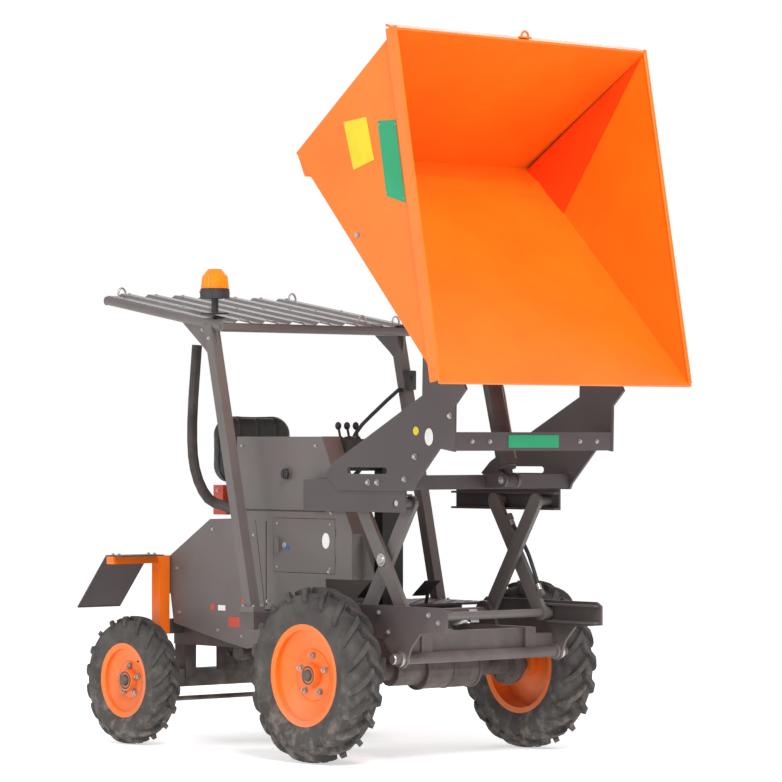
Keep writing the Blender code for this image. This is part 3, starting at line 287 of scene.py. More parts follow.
def galvanised(name, colour):
    """Zinc-coated sheet with pale spangles and dull streaks."""
    shader = Shader(name, Metallic=0.15)
    spangle = shader.cells(55.0)
    streaks = shader.noise(4.0, 5.0, place=shader.stretched((0.5, 6.0, 1.0)))
    base = shader.mix(spangle.clamped(0.1, 0.7), tone(colour, 0.86), tone(colour, 1.12))
    base = shader.mix(streaks.clamped(0.50, 0.80) * 0.35, base, DUST)
    shader.bump(spangle, 0.06, 0.0006)
    return shader.set(Base_Color=base, Roughness=(0.34 + streaks * 0.28).clamped())


def amber_lens(name, colour):
    """A clear amber cover with moulded flutes that glow faintly."""
    shader = Shader(name, Transmission_Weight=0.35, IOR=1.49, Emission_Strength=0.25, Roughness=0.12)
    shade = shader.noise(18.0, 2.0)
    base = shader.mix(shade.clamped(0.3, 0.7), tone(colour, 0.85), colour)
    return shader.set(Base_Color=base, Emission_Color=base)


def make_finishes(settings):
    """Every finish by its plain name."""
    return {
        "orange": painted("orange_paint", (*settings.orange, 1.0), 0.36, 0.12, 0.45),
        # Painted shade: a deeper, redder orange on the skip's inner corner folds, standing in for their shadow
        # tinted by light bounced between the orange walls.
        "painted_shade_orange": painted("orange_with_painted_shade", (0.86, 0.060, 0.003, 1.0), 0.36, 0.12, 0.45),
        "grey": painted("warm_grey_paint", (*settings.grey, 1.0), 0.46, 0.40),
        "dark_grey": painted("dark_chassis_paint", (*settings.dark_grey, 1.0), 0.50, 0.55, 0.7),
        "red": painted("red_paint", (0.55, 0.06, 0.03, 1.0), 0.40, 0.2),
        "green_plate": painted("green_plate_enamel", (0.01, 0.30, 0.13, 1.0), 0.30, 0.08),
        "yellow_plate": painted("yellow_plate_enamel", (0.72, 0.56, 0.01, 1.0), 0.30, 0.08),
        "blue_plate": painted("blue_plate_enamel", (0.03, 0.10, 0.42, 1.0), 0.30, 0.05),
        "white_plate": painted("white_plate_enamel", (0.80, 0.80, 0.78, 1.0), 0.30, 0.05),
        "cast": bare_metal("greasy_cast_iron", (0.085, 0.072, 0.070, 1.0), 0.55, 0.6, True),
        "steel": bare_metal("zinc_plated_steel", (0.55, 0.53, 0.50, 1.0), 0.32, 0.5),
        "tyre": tyre_rubber("tyre_rubber", (*settings.rubber, 1.0)),
        "hose": moulded_plastic("hose_rubber", (0.018, 0.018, 0.018, 1.0), 0.45),
        "plastic": moulded_plastic("black_plastic", (0.022, 0.022, 0.022, 1.0), 0.42),
        "vinyl": vinyl("seat_vinyl", (0.020, 0.020, 0.022, 1.0)),
        "piping": moulded_plastic("seat_piping", (0.012, 0.012, 0.012, 1.0), 0.35),
        "chrome": chromed("chromed_rod"),
        "galvanised": galvanised("galvanised_sheet", (0.17, 0.16, 0.16, 1.0)),
        "amber": amber_lens("amber_lens", (0.95, 0.30, 0.01, 1.0)),
    }


FINISHES = {}


def finish_node(name, finish):
    """Give a CAD node its better material."""
    NODES[name].data.materials.clear()
    NODES[name].data.materials.append(FINISHES[finish])


# ---------------------------------------------------------------- mesh tools

def facing(axis):
    """A turn that takes +Z to an axis."""
    return Vector(axis).normalized().to_track_quat("Z", "Y").to_matrix().to_4x4()


def set_up(place, along, normal):
    """A frame at a place, with X along one direction and Z along another."""
    along = Vector(along).normalized()
    normal = Vector(normal).normalized()
    turn = Matrix((along, normal.cross(along), normal)).transposed().to_4x4()
    return Matrix.Translation(place) @ turn


def add_disc(shape, place, axis, radius, height, sides=24, top_radius=None):
    """A round block that stands on a place and grows along an axis."""
    matrix = Matrix.Translation(Vector(place) + Vector(axis).normalized() * height / 2) @ facing(axis)
    made = bmesh.ops.create_cone(shape, cap_ends=True, segments=sides, radius1=radius,
                                 radius2=radius if top_radius is None else top_radius,
                                 depth=height, matrix=matrix)
    return made["verts"]


def add_bolt(shape, place, axis, across=0.016, washer=True):
    """A hexagon head with a chamfered top, on a washer if wanted."""
    axis = Vector(axis).normalized()
    place = Vector(place)
    if washer:
        add_disc(shape, place, axis, across * 0.72, across * 0.12, 20)
        place = place + axis * across * 0.12
    add_disc(shape, place, axis, across * 0.56, across * 0.42, 6)
    add_disc(shape, place + axis * across * 0.42, axis, across * 0.56, across * 0.10, 6, across * 0.46)


def add_side_bolts(shape, places, y, across, washer=True):
    """The same bolts on both sides, at (x, z) places on faces that stand y from the middle."""
    for side, axis in both_sides():
        for x, z in places:
            add_bolt(shape, (x, side * y, z), axis, across, washer)


def add_label(shape, low, high, face, edge=0.0):
    """A thin plate on a face of the right side, between two (x, z) corners."""
    back = face - LABEL_SUNK
    add_block(shape, (low[0], back - LABEL_DEPTH, low[1]), (high[0], back, high[1]), edge)


def add_pin_end(shape, place, axis, radius):
    """A pin's end with a retaining plate and a grease nipple."""
    axis = Vector(axis).normalized()
    add_disc(shape, place, axis, radius * 1.45, 0.004, 28)
    add_disc(shape, Vector(place) + axis * 0.004, axis, radius, 0.005, 28, radius * 0.86)
    add_disc(shape, Vector(place) + axis * 0.009, axis, 0.0035, 0.006, 10, 0.002)


def round_corners(shape, axis, radius):
    """Round the four edges that run along one axis."""
    edges = [line for line in shape.edges
             if abs((line.verts[0].co - line.verts[1].co).normalized()[axis]) > 0.99]
    bmesh.ops.bevel(shape, geom=edges, offset=radius, offset_type="OFFSET", affect="EDGES",
                    segments=6, profile=0.5, material=-1)


def add_block(shape, low, high, edge=0.0, matrix=None):
    """A block between two corners, with its edges bevelled."""
    low, high = Vector(low), Vector(high)
    place = Matrix.Translation((low + high) / 2) @ Matrix.Diagonal((*(high - low), 1.0))
    made = bmesh.ops.create_cube(shape, size=1.0, matrix=place if matrix is None else matrix @ place)
    if edge > 0.0:
        edges = {line for vertex in made["verts"] for line in vertex.link_edges}
        bmesh.ops.bevel(shape, geom=list(edges), offset=edge, offset_type="OFFSET", affect="EDGES",
                        segments=2, profile=0.5, material=-1)


def add_oval(shape, place, radius, narrow):
    """A thin disc that faces the right side, narrowed along X."""
    made = add_disc(shape, place, RIGHT, radius, 0.0012, 32)
    bmesh.ops.scale(shape, verts=made, vec=Vector((narrow, 1, 1)),
                    space=Matrix.Translation(-Vector(place)))


def add_plate(shape, corners, shift):
    """A flat plate between corners, thickened by a shift."""
    face = shape.faces.new([shape.verts.new(corner) for corner in corners])
    lifted = bmesh.ops.extrude_face_region(shape, geom=[face])
    verts = [item for item in lifted["geom"] if isinstance(item, bmesh.types.BMVert)]
    bmesh.ops.translate(shape, verts=verts, vec=Vector((0, shift, 0)))


def add_weld_line(shape, start, end, radius):
    """A weld bead: a thin bar whose surface ripples."""
    ripples = 40
    run = Vector(end) - Vector(start)
    for index in range(ripples):
        place = Vector(start) + run * (index / ripples)
        add_disc(shape, place, run, radius, run.length / ripples, 8, radius * 0.86)


def half_ring(place, across, rise):
    """Points along an upright half ring that spans Y."""
    turns = [math.pi * step / 8 for step in range(9)]
    return [place + Vector((0, across * math.cos(turn), rise * math.sin(turn))) for turn in turns]


def add_spun(shape, profile, middle, axis, steps=48):
    """A round form: (radius, along) points turned about an axis through a middle."""
    turn = Matrix.Translation(middle) @ facing(axis)
    corners = [shape.verts.new(turn @ Vector((radius, 0, along))) for radius, along in profile]
    edges = [shape.edges.new(pair) for pair in zip(corners, corners[1:])]
    bmesh.ops.spin(shape, geom=corners + edges, cent=middle, axis=Vector(axis), angle=math.tau,
                   steps=steps, use_merge=True, use_duplicate=False)


def placed(name, data, finish, body, replaces=()):
    """A piece that rides on a body, with a finish on its mesh or curve."""
    piece = bpy.data.objects.new(name, data)
    bpy.context.scene.collection.objects.link(piece)
    data.materials.append(FINISHES[finish])
    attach(piece, body)
    if replaces:
        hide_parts(*replaces)


def finished(name, shape, finish, body, smooth=30, replaces=()):
    """Turn a bmesh into a piece that rides on a body."""
    bmesh.ops.remove_doubles(shape, verts=shape.verts, dist=0.00002)
    bmesh.ops.recalc_face_normals(shape, faces=shape.faces)
    mesh = bpy.data.meshes.new(name)
    shape.to_mesh(mesh)
    shape.free()
    mesh.shade_smooth()
    mesh.set_sharp_from_angle(angle=math.radians(smooth))
    placed(name, mesh, finish, body, replaces)


def routed(points, steps=6):
    """Points along a smooth curve through the given ones."""
    places = [Vector(point) for point in points]
    places = [2 * places[0] - places[1], *places, 2 * places[-1] - places[-2]]
    route = []
    for a, b, c, d in zip(places, places[1:], places[2:], places[3:]):
        for step in range(steps):
            t = step / steps
            route.append(0.5 * (2 * b + (c - a) * t + (2 * a - 5 * b + 4 * c - d) * t ** 2
                                + (3 * b - a - 3 * c + d) * t ** 3))
    route.append(places[-2])
    return route


def add_hose(name, points, radius, finish, body, replaces=()):
    """A tube along a smooth route through points."""
    add_tube(name, routed(points), radius, finish, body, replaces)


def add_tube(name, route, radius, finish, body, replaces=(), closed=False):
    """A round tube along points, capped unless it is closed."""
    curve = bpy.data.curves.new(name, "CURVE")
    curve.dimensions = "3D"
    curve.bevel_depth = radius
    curve.bevel_resolution = 3 if closed else 4
    curve.use_fill_caps = not closed
    spline = curve.splines.new("POLY")
    spline.points.add(len(route) - 1)
    for point, place in zip(spline.points, route):
        point.co = (*place, 1.0)
    spline.use_cyclic_u = closed
    spline.use_smooth = True
    placed(name, curve, finish, body, replaces)


# ---------------------------------------------------------------- wheels

# A tyre's section from the crown to the bead: shares of its half-width, and of its wall's height below the crown.
TREAD_SECTION = ((0.0, 0.0), (0.30, 0.004), (0.55, 0.03), (0.74, 0.085), (0.88, 0.18), (0.97, 0.34), (1.0, 0.52),
                 (0.97, 0.70), (0.89, 0.86), (0.80, 0.95))


def tread_profile(radius, half_width, bead_radius):
    """Half of a tyre's section from the crown to the bead, as (out, radius)."""
    wall = radius - bead_radius
    profile = [(half_width * across, radius - wall * drop) for across, drop in TREAD_SECTION]
    return [*profile, (half_width * 0.79, bead_radius + 0.002)]


def along_profile(profile, share):
    """The point and outward normal at a share of the profile's length."""
    lengths = [math.dist(a, b) for a, b in zip(profile, profile[1:])]
    left = share * sum(lengths)
    for (a, b), length in zip(zip(profile, profile[1:]), lengths):
        if left <= length:
            step = left / length
            run = (b[0] - a[0], b[1] - a[1])
            return (a[0] + run[0] * step, a[1] + run[1] * step), (-run[1] / length, run[0] / length)
        left -= length
    return profile[-1], (1.0, 0.0)


def plain_bar():
    """A straight bar cut into short lengths, and its points' places before it is bent."""
    bar = bmesh.new()
    bmesh.ops.create_cube(bar, size=1.0)
    long_edges = [line for line in bar.edges if abs((line.verts[0].co - line.verts[1].co).x) > 0.5]
    bmesh.ops.subdivide_edges(bar, edges=long_edges, cuts=6)
    return bar, [vertex.co.copy() for vertex in bar.verts]


def make_tyre(end, side_name, settings):
    """A cross-ply tyre with a chevron tread of bars that wrap over the shoulder."""
    node = f"tyre_{end}_{side_name}"
    low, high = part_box(node)
    middle = (low + high) / 2
    outer_radius = (high.z - low.z) / 2
    half_width = (high.y - low.y) / 2
    flange = flange_radius(end, side_name)
    bar_height = settings.bar_height * outer_radius
    profile = tread_profile(outer_radius - bar_height, half_width, flange - 0.004)
    shape = bmesh.new()
    full = [(radius, -out) for out, radius in reversed(profile)] + [(radius, out) for out, radius in profile[1:]]
    add_spun(shape, [(flange - 0.014, -half_width * 0.60), *full, (flange - 0.014, half_width * 0.60)],
             middle, (0, 1, 0), 72)
    count = settings.front_bars if end == "front" else settings.rear_bars
    pitch = math.tau / count
    bar_shape, plain = plain_bar()
    bar_mesh = bpy.data.meshes.new("tread_bar")
    for side in (-1, 1):
        for bar in range(count):
            start = bar * pitch + (0.0 if side > 0 else pitch / 2)
            for vertex, unit in zip(bar_shape.verts, plain):
                along = unit.x + 0.5
                share = -0.015 + along * settings.bar_reach
                across = unit.y * (0.34 - 0.05 * along) * pitch * (0.74 if unit.z > 0 else 1.0)
                point, normal = along_profile(profile, max(share, 0.0))
                lifted = bar_height * (1.0 - 0.55 * max(0.0, along - 0.55) / 0.45) if unit.z > 0 else -0.004
                out = point[0] + normal[0] * lifted - (0.006 if share < 0.0 else 0.0)
                radius = point[1] + normal[1] * lifted
                turn = start + along * pitch * settings.bar_sweep + across
                vertex.co = middle + Vector((radius * math.sin(turn), side * out, radius * math.cos(turn)))
            bar_shape.to_mesh(bar_mesh)
            shape.from_mesh(bar_mesh)
    bar_shape.free()
    bpy.data.meshes.remove(bar_mesh)
    ring = flange + (outer_radius - flange) * 0.22
    for radius in (ring, ring + 0.010):
        for side in (-1, 1):
            (out, _), _ = along_profile(profile, 0.86)
            add_spun(shape, [(radius - 0.0025, side * out * 0.985), (radius, side * (out + 0.0035)),
                             (radius + 0.0025, side * out * 0.985)], middle, (0, 1, 0), 72)
    finished(f"lugged_{node}", shape, "tyre", f"{end}_wheel_{side_name}", 38, (node,))


def make_rim_details(end, side_name, settings):
    """Wheel nuts on their studs, a greased hub cap, a valve and the disc's pressed ring."""
    side = SIDES[side_name]
    middle = centre(f"tyre_{end}_{side_name}")
    body = f"{end}_wheel_{side_name}"
    flange = flange_radius(end, side_name)
    out = Vector((0, side, 0))
    face = middle + out * 0.0162
    nuts = bmesh.new()
    for index in range(settings.wheel_nuts):
        turn = math.tau * index / settings.wheel_nuts + 0.3
        place = face + Vector((math.cos(turn), 0, math.sin(turn))) * flange * settings.nut_circle
        for reach, *sizes in ((0.0, 0.0150, 0.003, 20), (0.003, 0.0125, 0.009, 6),
                              (0.012, 0.0125, 0.003, 6, 0.009), (0.014, 0.006, 0.008, 12, 0.005)):
            add_disc(nuts, place + out * reach, out, *sizes)
    finished(f"wheel_nuts_{end}_{side_name}", nuts, "steel", body, 35)
    cap = bmesh.new()
    profile = [(0.0005, 0.0150), (0.012, 0.0150), (0.020, 0.0120), (0.024, 0.0060), (0.024, -0.0006),
               (0.0005, -0.0006)]
    add_spun(cap, profile, middle + out * 0.0468, out, 28)
    add_spun(cap, [(0.034, 0.0005), (0.040, 0.0005), (0.041, 0.006), (0.033, 0.006), (0.034, 0.0005)],
             middle + out * 0.0400, out, 28)
    finished(f"hub_cap_{end}_{side_name}", cap, "cast", body, 40)
    valve = bmesh.new()
    stem = middle + Vector((0.7, 0, 0.7)).normalized() * (flange - 0.034) + out * 0.016
    lean = (out + Vector((-0.35, 0, -0.35))).normalized()
    add_disc(valve, stem, lean, 0.0055, 0.018, 12)
    add_disc(valve, stem + lean * 0.018, lean, 0.0042, 0.012, 12, 0.0036)
    finished(f"valve_{end}_{side_name}", valve, "plastic", body, 40)
    ring = bmesh.new()
    radius = flange * 0.50
    add_spun(ring, [(radius - 0.004, 0.0158), (radius, 0.0188), (radius + 0.004, 0.0158)], middle, out, 56)
    finished(f"disc_ring_{end}_{side_name}", ring, "orange", body, 45)


# ---------------------------------------------------------------- seat padding

def whole_mesh(piece):
    """A piece's mesh with its modifiers applied."""
    bpy.context.view_layer.update()
    return bpy.data.meshes.new_from_object(piece.evaluated_get(bpy.context.evaluated_depsgraph_get()))


def padded_block(name, node, face_axis, corner, crown, settings):
    """A stuffed pad: a block that is swelled as cloth, with sewn channels pressed into one face afterwards."""
    low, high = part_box(node)
    inset = Vector((PAD_INSET, PAD_INSET, PAD_INSET))
    low, high = low + inset, high - inset
    shape = bmesh.new()
    add_block(shape, low, high)
    round_corners(shape, face_axis, corner)
    bmesh.ops.bevel(shape, geom=[line for line in shape.edges if line.calc_face_angle(0.0) > 1.0],
                    offset=min(high - low) * 0.25, offset_type="OFFSET", affect="EDGES",
                    segments=3, profile=0.5, material=-1)
    mesh = bpy.data.meshes.new(name)
    shape.to_mesh(mesh)
    shape.free()
    pad = bpy.data.objects.new(name, mesh)
    bpy.context.scene.collection.objects.link(pad)
    remesh = pad.modifiers.new("even", "REMESH")
    remesh.mode = "VOXEL"
    remesh.voxel_size = settings.pad_voxel
    even = whole_mesh(pad)
    pad.modifiers.clear()
    pad.data = even
    rest = [vertex.co.copy() for vertex in even.vertices]
    cloth = pad.modifiers.new("swell", "CLOTH")
    cloth.settings.use_pressure = True
    cloth.settings.uniform_pressure_force = settings.pad_pressure
    cloth.settings.effector_weights.gravity = 0.0
    cloth.settings.mass = 0.4
    cloth.settings.tension_stiffness = 12
    for number in range(1, 21):
        bpy.context.scene.frame_set(number)
    swollen = whole_mesh(pad)
    pad.modifiers.clear()
    for vertex, start, moved in zip(even.vertices, rest, swollen.vertices):
        shift = moved.co - start
        if shift.length > settings.pad_swell:
            shift = shift.normalized() * settings.pad_swell
        vertex.co = start + shift
    bpy.context.scene.frame_set(1)
    span = high - low
    face_level = high[face_axis] - span[face_axis] * crown
    for vertex in even.vertices:
        share = (vertex.co.y - low.y) / span.y
        if vertex.co[face_axis] > face_level and 0.10 < share < 0.90:
            groove = max(0.0, math.cos(share * PAD_CHANNELS * math.tau)) ** 10
            vertex.co[face_axis] -= settings.channel_depth * groove
    even.materials.clear()
    even.materials.append(FINISHES["vinyl"])
    even.shade_smooth()
    smooth = pad.modifiers.new("smooth", "SUBSURF")
    smooth.levels = 1
    smooth.render_levels = 1
    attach(pad, "chassis")
    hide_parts(node)
    return pad


def piping_loop(name, pad, flat_axis, level):
    """A sewn cord that follows a pad's own edge, in the plane where one axis has the given level."""
    first, second = [axis for axis in range(3) if axis != flat_axis]
    near = [vertex.co for vertex in pad.data.vertices if abs(vertex.co[flat_axis] - level) < 0.006]
    middle = sum(near, Vector()) / len(near)
    rim = {}
    for place in near:
        off = place - middle
        turn = round(math.atan2(off[second], off[first]) / math.tau * 60)
        if turn not in rim or off.length > rim[turn].length:
            rim[turn] = off
    ring = []
    for turn in sorted(rim):
        place = middle + rim[turn]
        place[flat_axis] = level
        ring.append(place)
    add_tube(name, ring, PIPING_RADIUS, "piping", "chassis", closed=True)


# ---------------------------------------------------------------- settings

class DumperColours(bpy.types.PropertyGroup):
    orange: bpy.props.FloatVectorProperty(
        name="Orange", description="Skip, rims and rear brackets", subtype="COLOR", default=(0.93, 0.170, 0.005))
    grey: bpy.props.FloatVectorProperty(
        name="Warm grey", description="Body sheets, posts and arms", subtype="COLOR", default=(0.130, 0.113, 0.108))
    dark_grey: bpy.props.FloatVectorProperty(
        name="Dark grey", description="Chassis and load carrier", subtype="COLOR", default=(0.066, 0.052, 0.054))
    rubber: bpy.props.FloatVectorProperty(
        name="Rubber", description="Tyres", subtype="COLOR", default=(0.045, 0.042, 0.040))


class WheelSizes(bpy.types.PropertyGroup):
    front_bars: bpy.props.IntProperty(name="Front bars", description="Tread bars on each side", default=19, min=8)
    rear_bars: bpy.props.IntProperty(name="Rear bars", description="Tread bars on each side", default=17, min=8)
    bar_height: bpy.props.FloatProperty(
        name="Bar height", description="Height of a tread bar as a share of the tyre's radius", default=0.066)
    bar_reach: bpy.props.FloatProperty(
        name="Bar reach", description="How far a bar runs from the crown towards the bead", default=0.50)
    bar_sweep: bpy.props.FloatProperty(
        name="Bar sweep", description="How far a bar leans round the tyre, in pitches", default=0.85)
    wheel_nuts: bpy.props.IntProperty(name="Wheel nuts", description="Nuts on each wheel", default=5, min=3)
    nut_circle: bpy.props.FloatProperty(
        name="Nut circle", description="Radius of the nuts' circle as a share of the rim flange", default=0.38)


class SeatSizes(bpy.types.PropertyGroup):
    pad_voxel: bpy.props.FloatProperty(
        name="Weave size", description="Spacing of the cloth's points", default=0.006, unit="LENGTH")
    pad_pressure: bpy.props.FloatProperty(
        name="Stuffing", description="Pressure that swells a pad", default=4.0)
    pad_swell: bpy.props.FloatProperty(
        name="Swell", description="Furthest that a pad's surface may move", default=0.008, unit="LENGTH")
    channel_depth: bpy.props.FloatProperty(
        name="Channel depth", description="Depth of the sewn channels", default=0.006, unit="LENGTH")


class StageSizes(bpy.types.PropertyGroup):
    camera_place: bpy.props.FloatVectorProperty(
        name="Camera place", description="Where the camera stands", subtype="XYZ", unit="LENGTH",
        default=(12.390, -10.678, 1.369))
    camera_azimuth: bpy.props.FloatProperty(
        name="Azimuth", description="Turn of the camera from +Y towards -X", subtype="ANGLE",
        default=math.radians(48.975))
    camera_pitch: bpy.props.FloatProperty(
        name="Pitch", description="Upward tilt of the camera", subtype="ANGLE", default=math.radians(0.764))
    camera_lens: bpy.props.FloatProperty(
        name="Lens", description="Focal length on a 36 mm sensor", subtype="DISTANCE_CAMERA", default=170.06)
    sky: bpy.props.FloatProperty(name="Sky", description="Strength of the even light from all round", default=0.55)
    floor_half: bpy.props.FloatProperty(
        name="Floor", description="Half of the floor's side", default=40.0, unit="LENGTH")


# ---------------------------------------------------------------- operators

class DUMPER_OT_finishes(bpy.types.Operator):
    """Give every frame node its finish"""
    bl_idname = "dumper.finishes"
    bl_label = "Finishes"

    def execute(self, context):
        FINISHES.update(make_finishes(context.scene.dumper_colours))
        wanted = {
            "orange": ["skip", "mudguard_bracket_right", "mudguard_bracket_left",
                       *(name for name in NODES if name.startswith("rim_"))],
            "grey": ["engine_hood", "side_console", "access_door", "rops_frame", "scissor_arm_inner",
                     "scissor_arm_outer"],
            # The mudguards are orange steel; the dark chassis grey on them is painted shade, the brown look of
            # their orange undersides in shadow.
            "dark_grey": ["chassis_frame", "carrier_frame", "footwell_floor", "mudguard_right", "mudguard_left"],
            "red": ["seat_base"],
            "cast": ["front_axle", "rear_axle", "engine", "tie_rod", "steering_knuckle_right",
                     "steering_knuckle_left", "tip_ram_barrel", "lift_ram_barrel", "exhaust_pipe"],
            "chrome": ["tip_ram_rod", "lift_ram_rod"],
            "plastic": ["dash_column", "steering_wheel", "beacon_base", "grab_rail"],
            "galvanised": ["roof_sheet"],
            "amber": ["beacon_dome"],
            "tyre": [name for name in NODES if name.startswith("tyre_")],
            "vinyl": ["seat_cushion", "seat_backrest"],
            "hose": ["lift_hose"],
        }
        for finish, names in wanted.items():
            for name in names:
                finish_node(name, finish)
        return {"FINISHED"}


class DUMPER_OT_wheels(bpy.types.Operator):
    """Add lugged tyres, wheel nuts, hub caps and valves"""
    bl_idname = "dumper.wheels"
    bl_label = "Wheels"

    def execute(self, context):
        for end in ("front", "rear"):
            for side_name in SIDES:
                make_tyre(end, side_name, context.scene.dumper_wheels)
                make_rim_details(end, side_name, context.scene.dumper_wheels)
        return {"FINISHED"}


# The skip's side view: its lip, its top edge, the foot of its V, and the half-width at the foot.
LIP_Z = 1.600
SKIP_TOP = Vector((0.9768, 0, 3.058))
SKIP_FOOT = Vector((0.2908, 0, 2.590))
FOOT_HALF_WIDTH = 0.677
WALL_WELD = 0.0035
RIVET_INSET = 0.10


class DUMPER_OT_skip(bpy.types.Operator):
    """Add the skip's rolled rim, lifting eye, weld seams, inner folds, blank plates and fasteners"""
    bl_idname = "dumper.skip"
    bl_label = "Skip"

    def execute(self, context):
        _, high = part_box("skip")
        lip = Vector((high.x - 0.004, 0, LIP_Z))
        rise = (SKIP_TOP - lip).normalized()
        out = Vector((rise.z, 0, -rise.x))
        beads = bmesh.new()
        for side in SIDES.values():
            edge = Vector((0, side * (high.y - 0.008), 0))
            add_disc(beads, lip + edge - out * 0.004, rise, 0.0075, (SKIP_TOP - lip).length, 12)
        finished("skip_rim_bead", beads, "orange", "skip", 40)
        eye = bmesh.new()
        seat = SKIP_TOP + Vector((-0.010, 0.013, 0.026))
        add_block(eye, seat + Vector((-0.012, -0.030, -0.012)), seat + Vector((0.012, 0.030, -0.004)), 0.002)
        finished("skip_eye_pad", eye, "orange", "skip", 30)
        loop = half_ring(seat - Vector((0, 0, 0.006)), 0.020, 0.024)
        add_hose("skip_lifting_eye", loop, 0.0050, "orange", "skip")
        wall = bmesh.new()
        for side, axis in both_sides():
            foot = SKIP_FOOT + axis * FOOT_HALF_WIDTH
            add_weld_line(wall, lip - out * 0.01 + axis * (high.y - 0.030), foot, WALL_WELD)
            back = Vector((0.9658, side * (high.y - 0.016), 3.050))
            add_weld_line(wall, back, foot + Vector((0, 0, 0.002)), WALL_WELD)
        finished("skip_weld_seams", wall, "orange", "skip", 50)
        make_inner_folds()
        make_skip_plates()
        return {"FINISHED"}


def wall_place(x, z, lift=0.0):
    """A place on the outside of the skip's right wall, or just off it."""
    mouth = 1.2518 - 0.1886 * (z - LIP_Z)
    depth = max(0.0, mouth - x)
    y = -0.7225 + 0.0405 * min(1.0, depth / 0.79)
    return Vector((x, y - lift, z))


def make_inner_folds():
    """The plate that bridges the foot of the V, and the folded corner at each of its ends in a deeper red-orange
    that is painted shade.
    """
    deep, shallow = Vector((0.304, 0, 2.572)), Vector((0.486, 0, 2.388))
    filler = bmesh.new()
    run = shallow - deep
    turn = set_up(deep, run, Vector((-run.z, 0, run.x)))
    add_block(filler, (0, -0.674, -0.003), (run.length, 0.674, 0.0), 0.0, turn)
    finished("skip_foot_filler", filler, "orange", "skip", 20)
    # The corner folds tilt only a few degrees off the walls; their deeper red-orange is painted shade with a red
    # tint of bounced light.
    folds = bmesh.new()
    for side in SIDES.values():
        corners = [(0.960, side * 0.7155, 3.040), (0.306, side * 0.640, 2.578), (0.500, side * 0.6820, 2.376)]
        add_plate(folds, corners, side * 0.0020)
    finished("skip_painted_shade_folds", folds, "painted_shade_orange", "skip", 20)


def make_skip_plates():
    """The blank plates on the right wall: a tall green one by the rim and a yellow one behind it."""
    plates = {
        "green_plate": ((0.853, 2.689), (0.972, 2.685), (1.036, 2.340), (0.909, 2.375)),
        "yellow_plate": ((0.622, 2.699), (0.776, 2.710), (0.827, 2.529), (0.687, 2.495)),
    }
    for finish, corners in plates.items():
        shape = bmesh.new()
        add_plate(shape, [wall_place(x, z, SURFACE_GAP) for x, z in corners], -0.0014)
        finished(f"skip_{finish}", shape, finish, "skip", 20)
    rivets = bmesh.new()
    for corners in plates.values():
        middle = Vector((sum(x for x, _ in corners) / 4, 0, sum(z for _, z in corners) / 4))
        for x, z in corners:
            place = Vector((x, 0, z)).lerp(middle, RIVET_INSET)
            add_disc(rivets, wall_place(place.x, place.z, 0.0015), RIGHT, 0.0035, 0.0018, 12, 0.002)
    add_bolt(rivets, wall_place(0.713, 2.223, -0.001), RIGHT, 0.020)
    finished("skip_rivets", rivets, "steel", "skip", 40)


class DUMPER_OT_carrier(bpy.types.Operator):
    """Add the load carrier's hinge pins, bolts, blank plates and grease points"""
    bl_idname = "dumper.carrier"
    bl_label = "Load carrier"

    def execute(self, context):
        _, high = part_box("carrier_frame")
        hinge = joint_place("tip")
        ram = joint_place("tip_ram_pivot")
        outer = high.y
        details = bmesh.new()
        add_side_bolts(details, ((0.500, 1.190), (0.560, 1.190), (0.735, 1.205), (1.020, 1.470), (0.800, 1.300)),
                       outer, 0.018)
        for side, axis in both_sides():
            add_pin_end(details, (ram.x, side * 0.0440, ram.z), axis, 0.012)
        for y in (-0.36, -0.26, 0.26, 0.36):
            add_bolt(details, (high.x - 0.0723, y, 1.364), (1, 0, 0), 0.014)
        finished("carrier_bolts", details, "steel", "carrier", 35)
        pins = bmesh.new()
        for side, axis in both_sides():
            add_disc(pins, (hinge.x, side * 0.4702, hinge.z), axis, 0.0150, 0.003, 28)
            add_disc(pins, (hinge.x, side * 0.4732, hinge.z), axis, 0.026, 0.006, 28, 0.024)
        finished("hinge_pin_caps", pins, "steel", "skip", 35)
        face_x = 1.0433
        plate = bmesh.new()
        add_block(plate, (face_x + SURFACE_GAP, -0.155, 1.338), (face_x + 0.0028, 0.135, 1.391), 0.0006)
        finished("carrier_green_plate", plate, "green_plate", "carrier", 20)
        dots = bmesh.new()
        add_oval(dots, (0.889, -outer - SURFACE_GAP, 1.383), 0.036, OVAL)
        finished("carrier_white_disc", dots, "white_plate", "carrier", 30)
        spot = bmesh.new()
        add_disc(spot, (0.807, -outer - SURFACE_GAP, 1.408), RIGHT, 0.018, 0.0012, 28)
        finished("carrier_yellow_disc", spot, "yellow_plate", "carrier", 30)
        welds = bmesh.new()
        for side in SIDES.values():
            inner = side * 0.4485
            for x in (1.0085, 1.0435):
                add_weld_line(welds, (x, inner, 1.327), (x, inner, 1.402), 0.0025)
            for x in (0.7445, 0.7805):
                add_weld_line(welds, (x, inner, 1.163), (x, inner, 1.220), 0.0025)
        finished("carrier_welds", welds, "dark_grey", "carrier", 50)
        return {"FINISHED"}


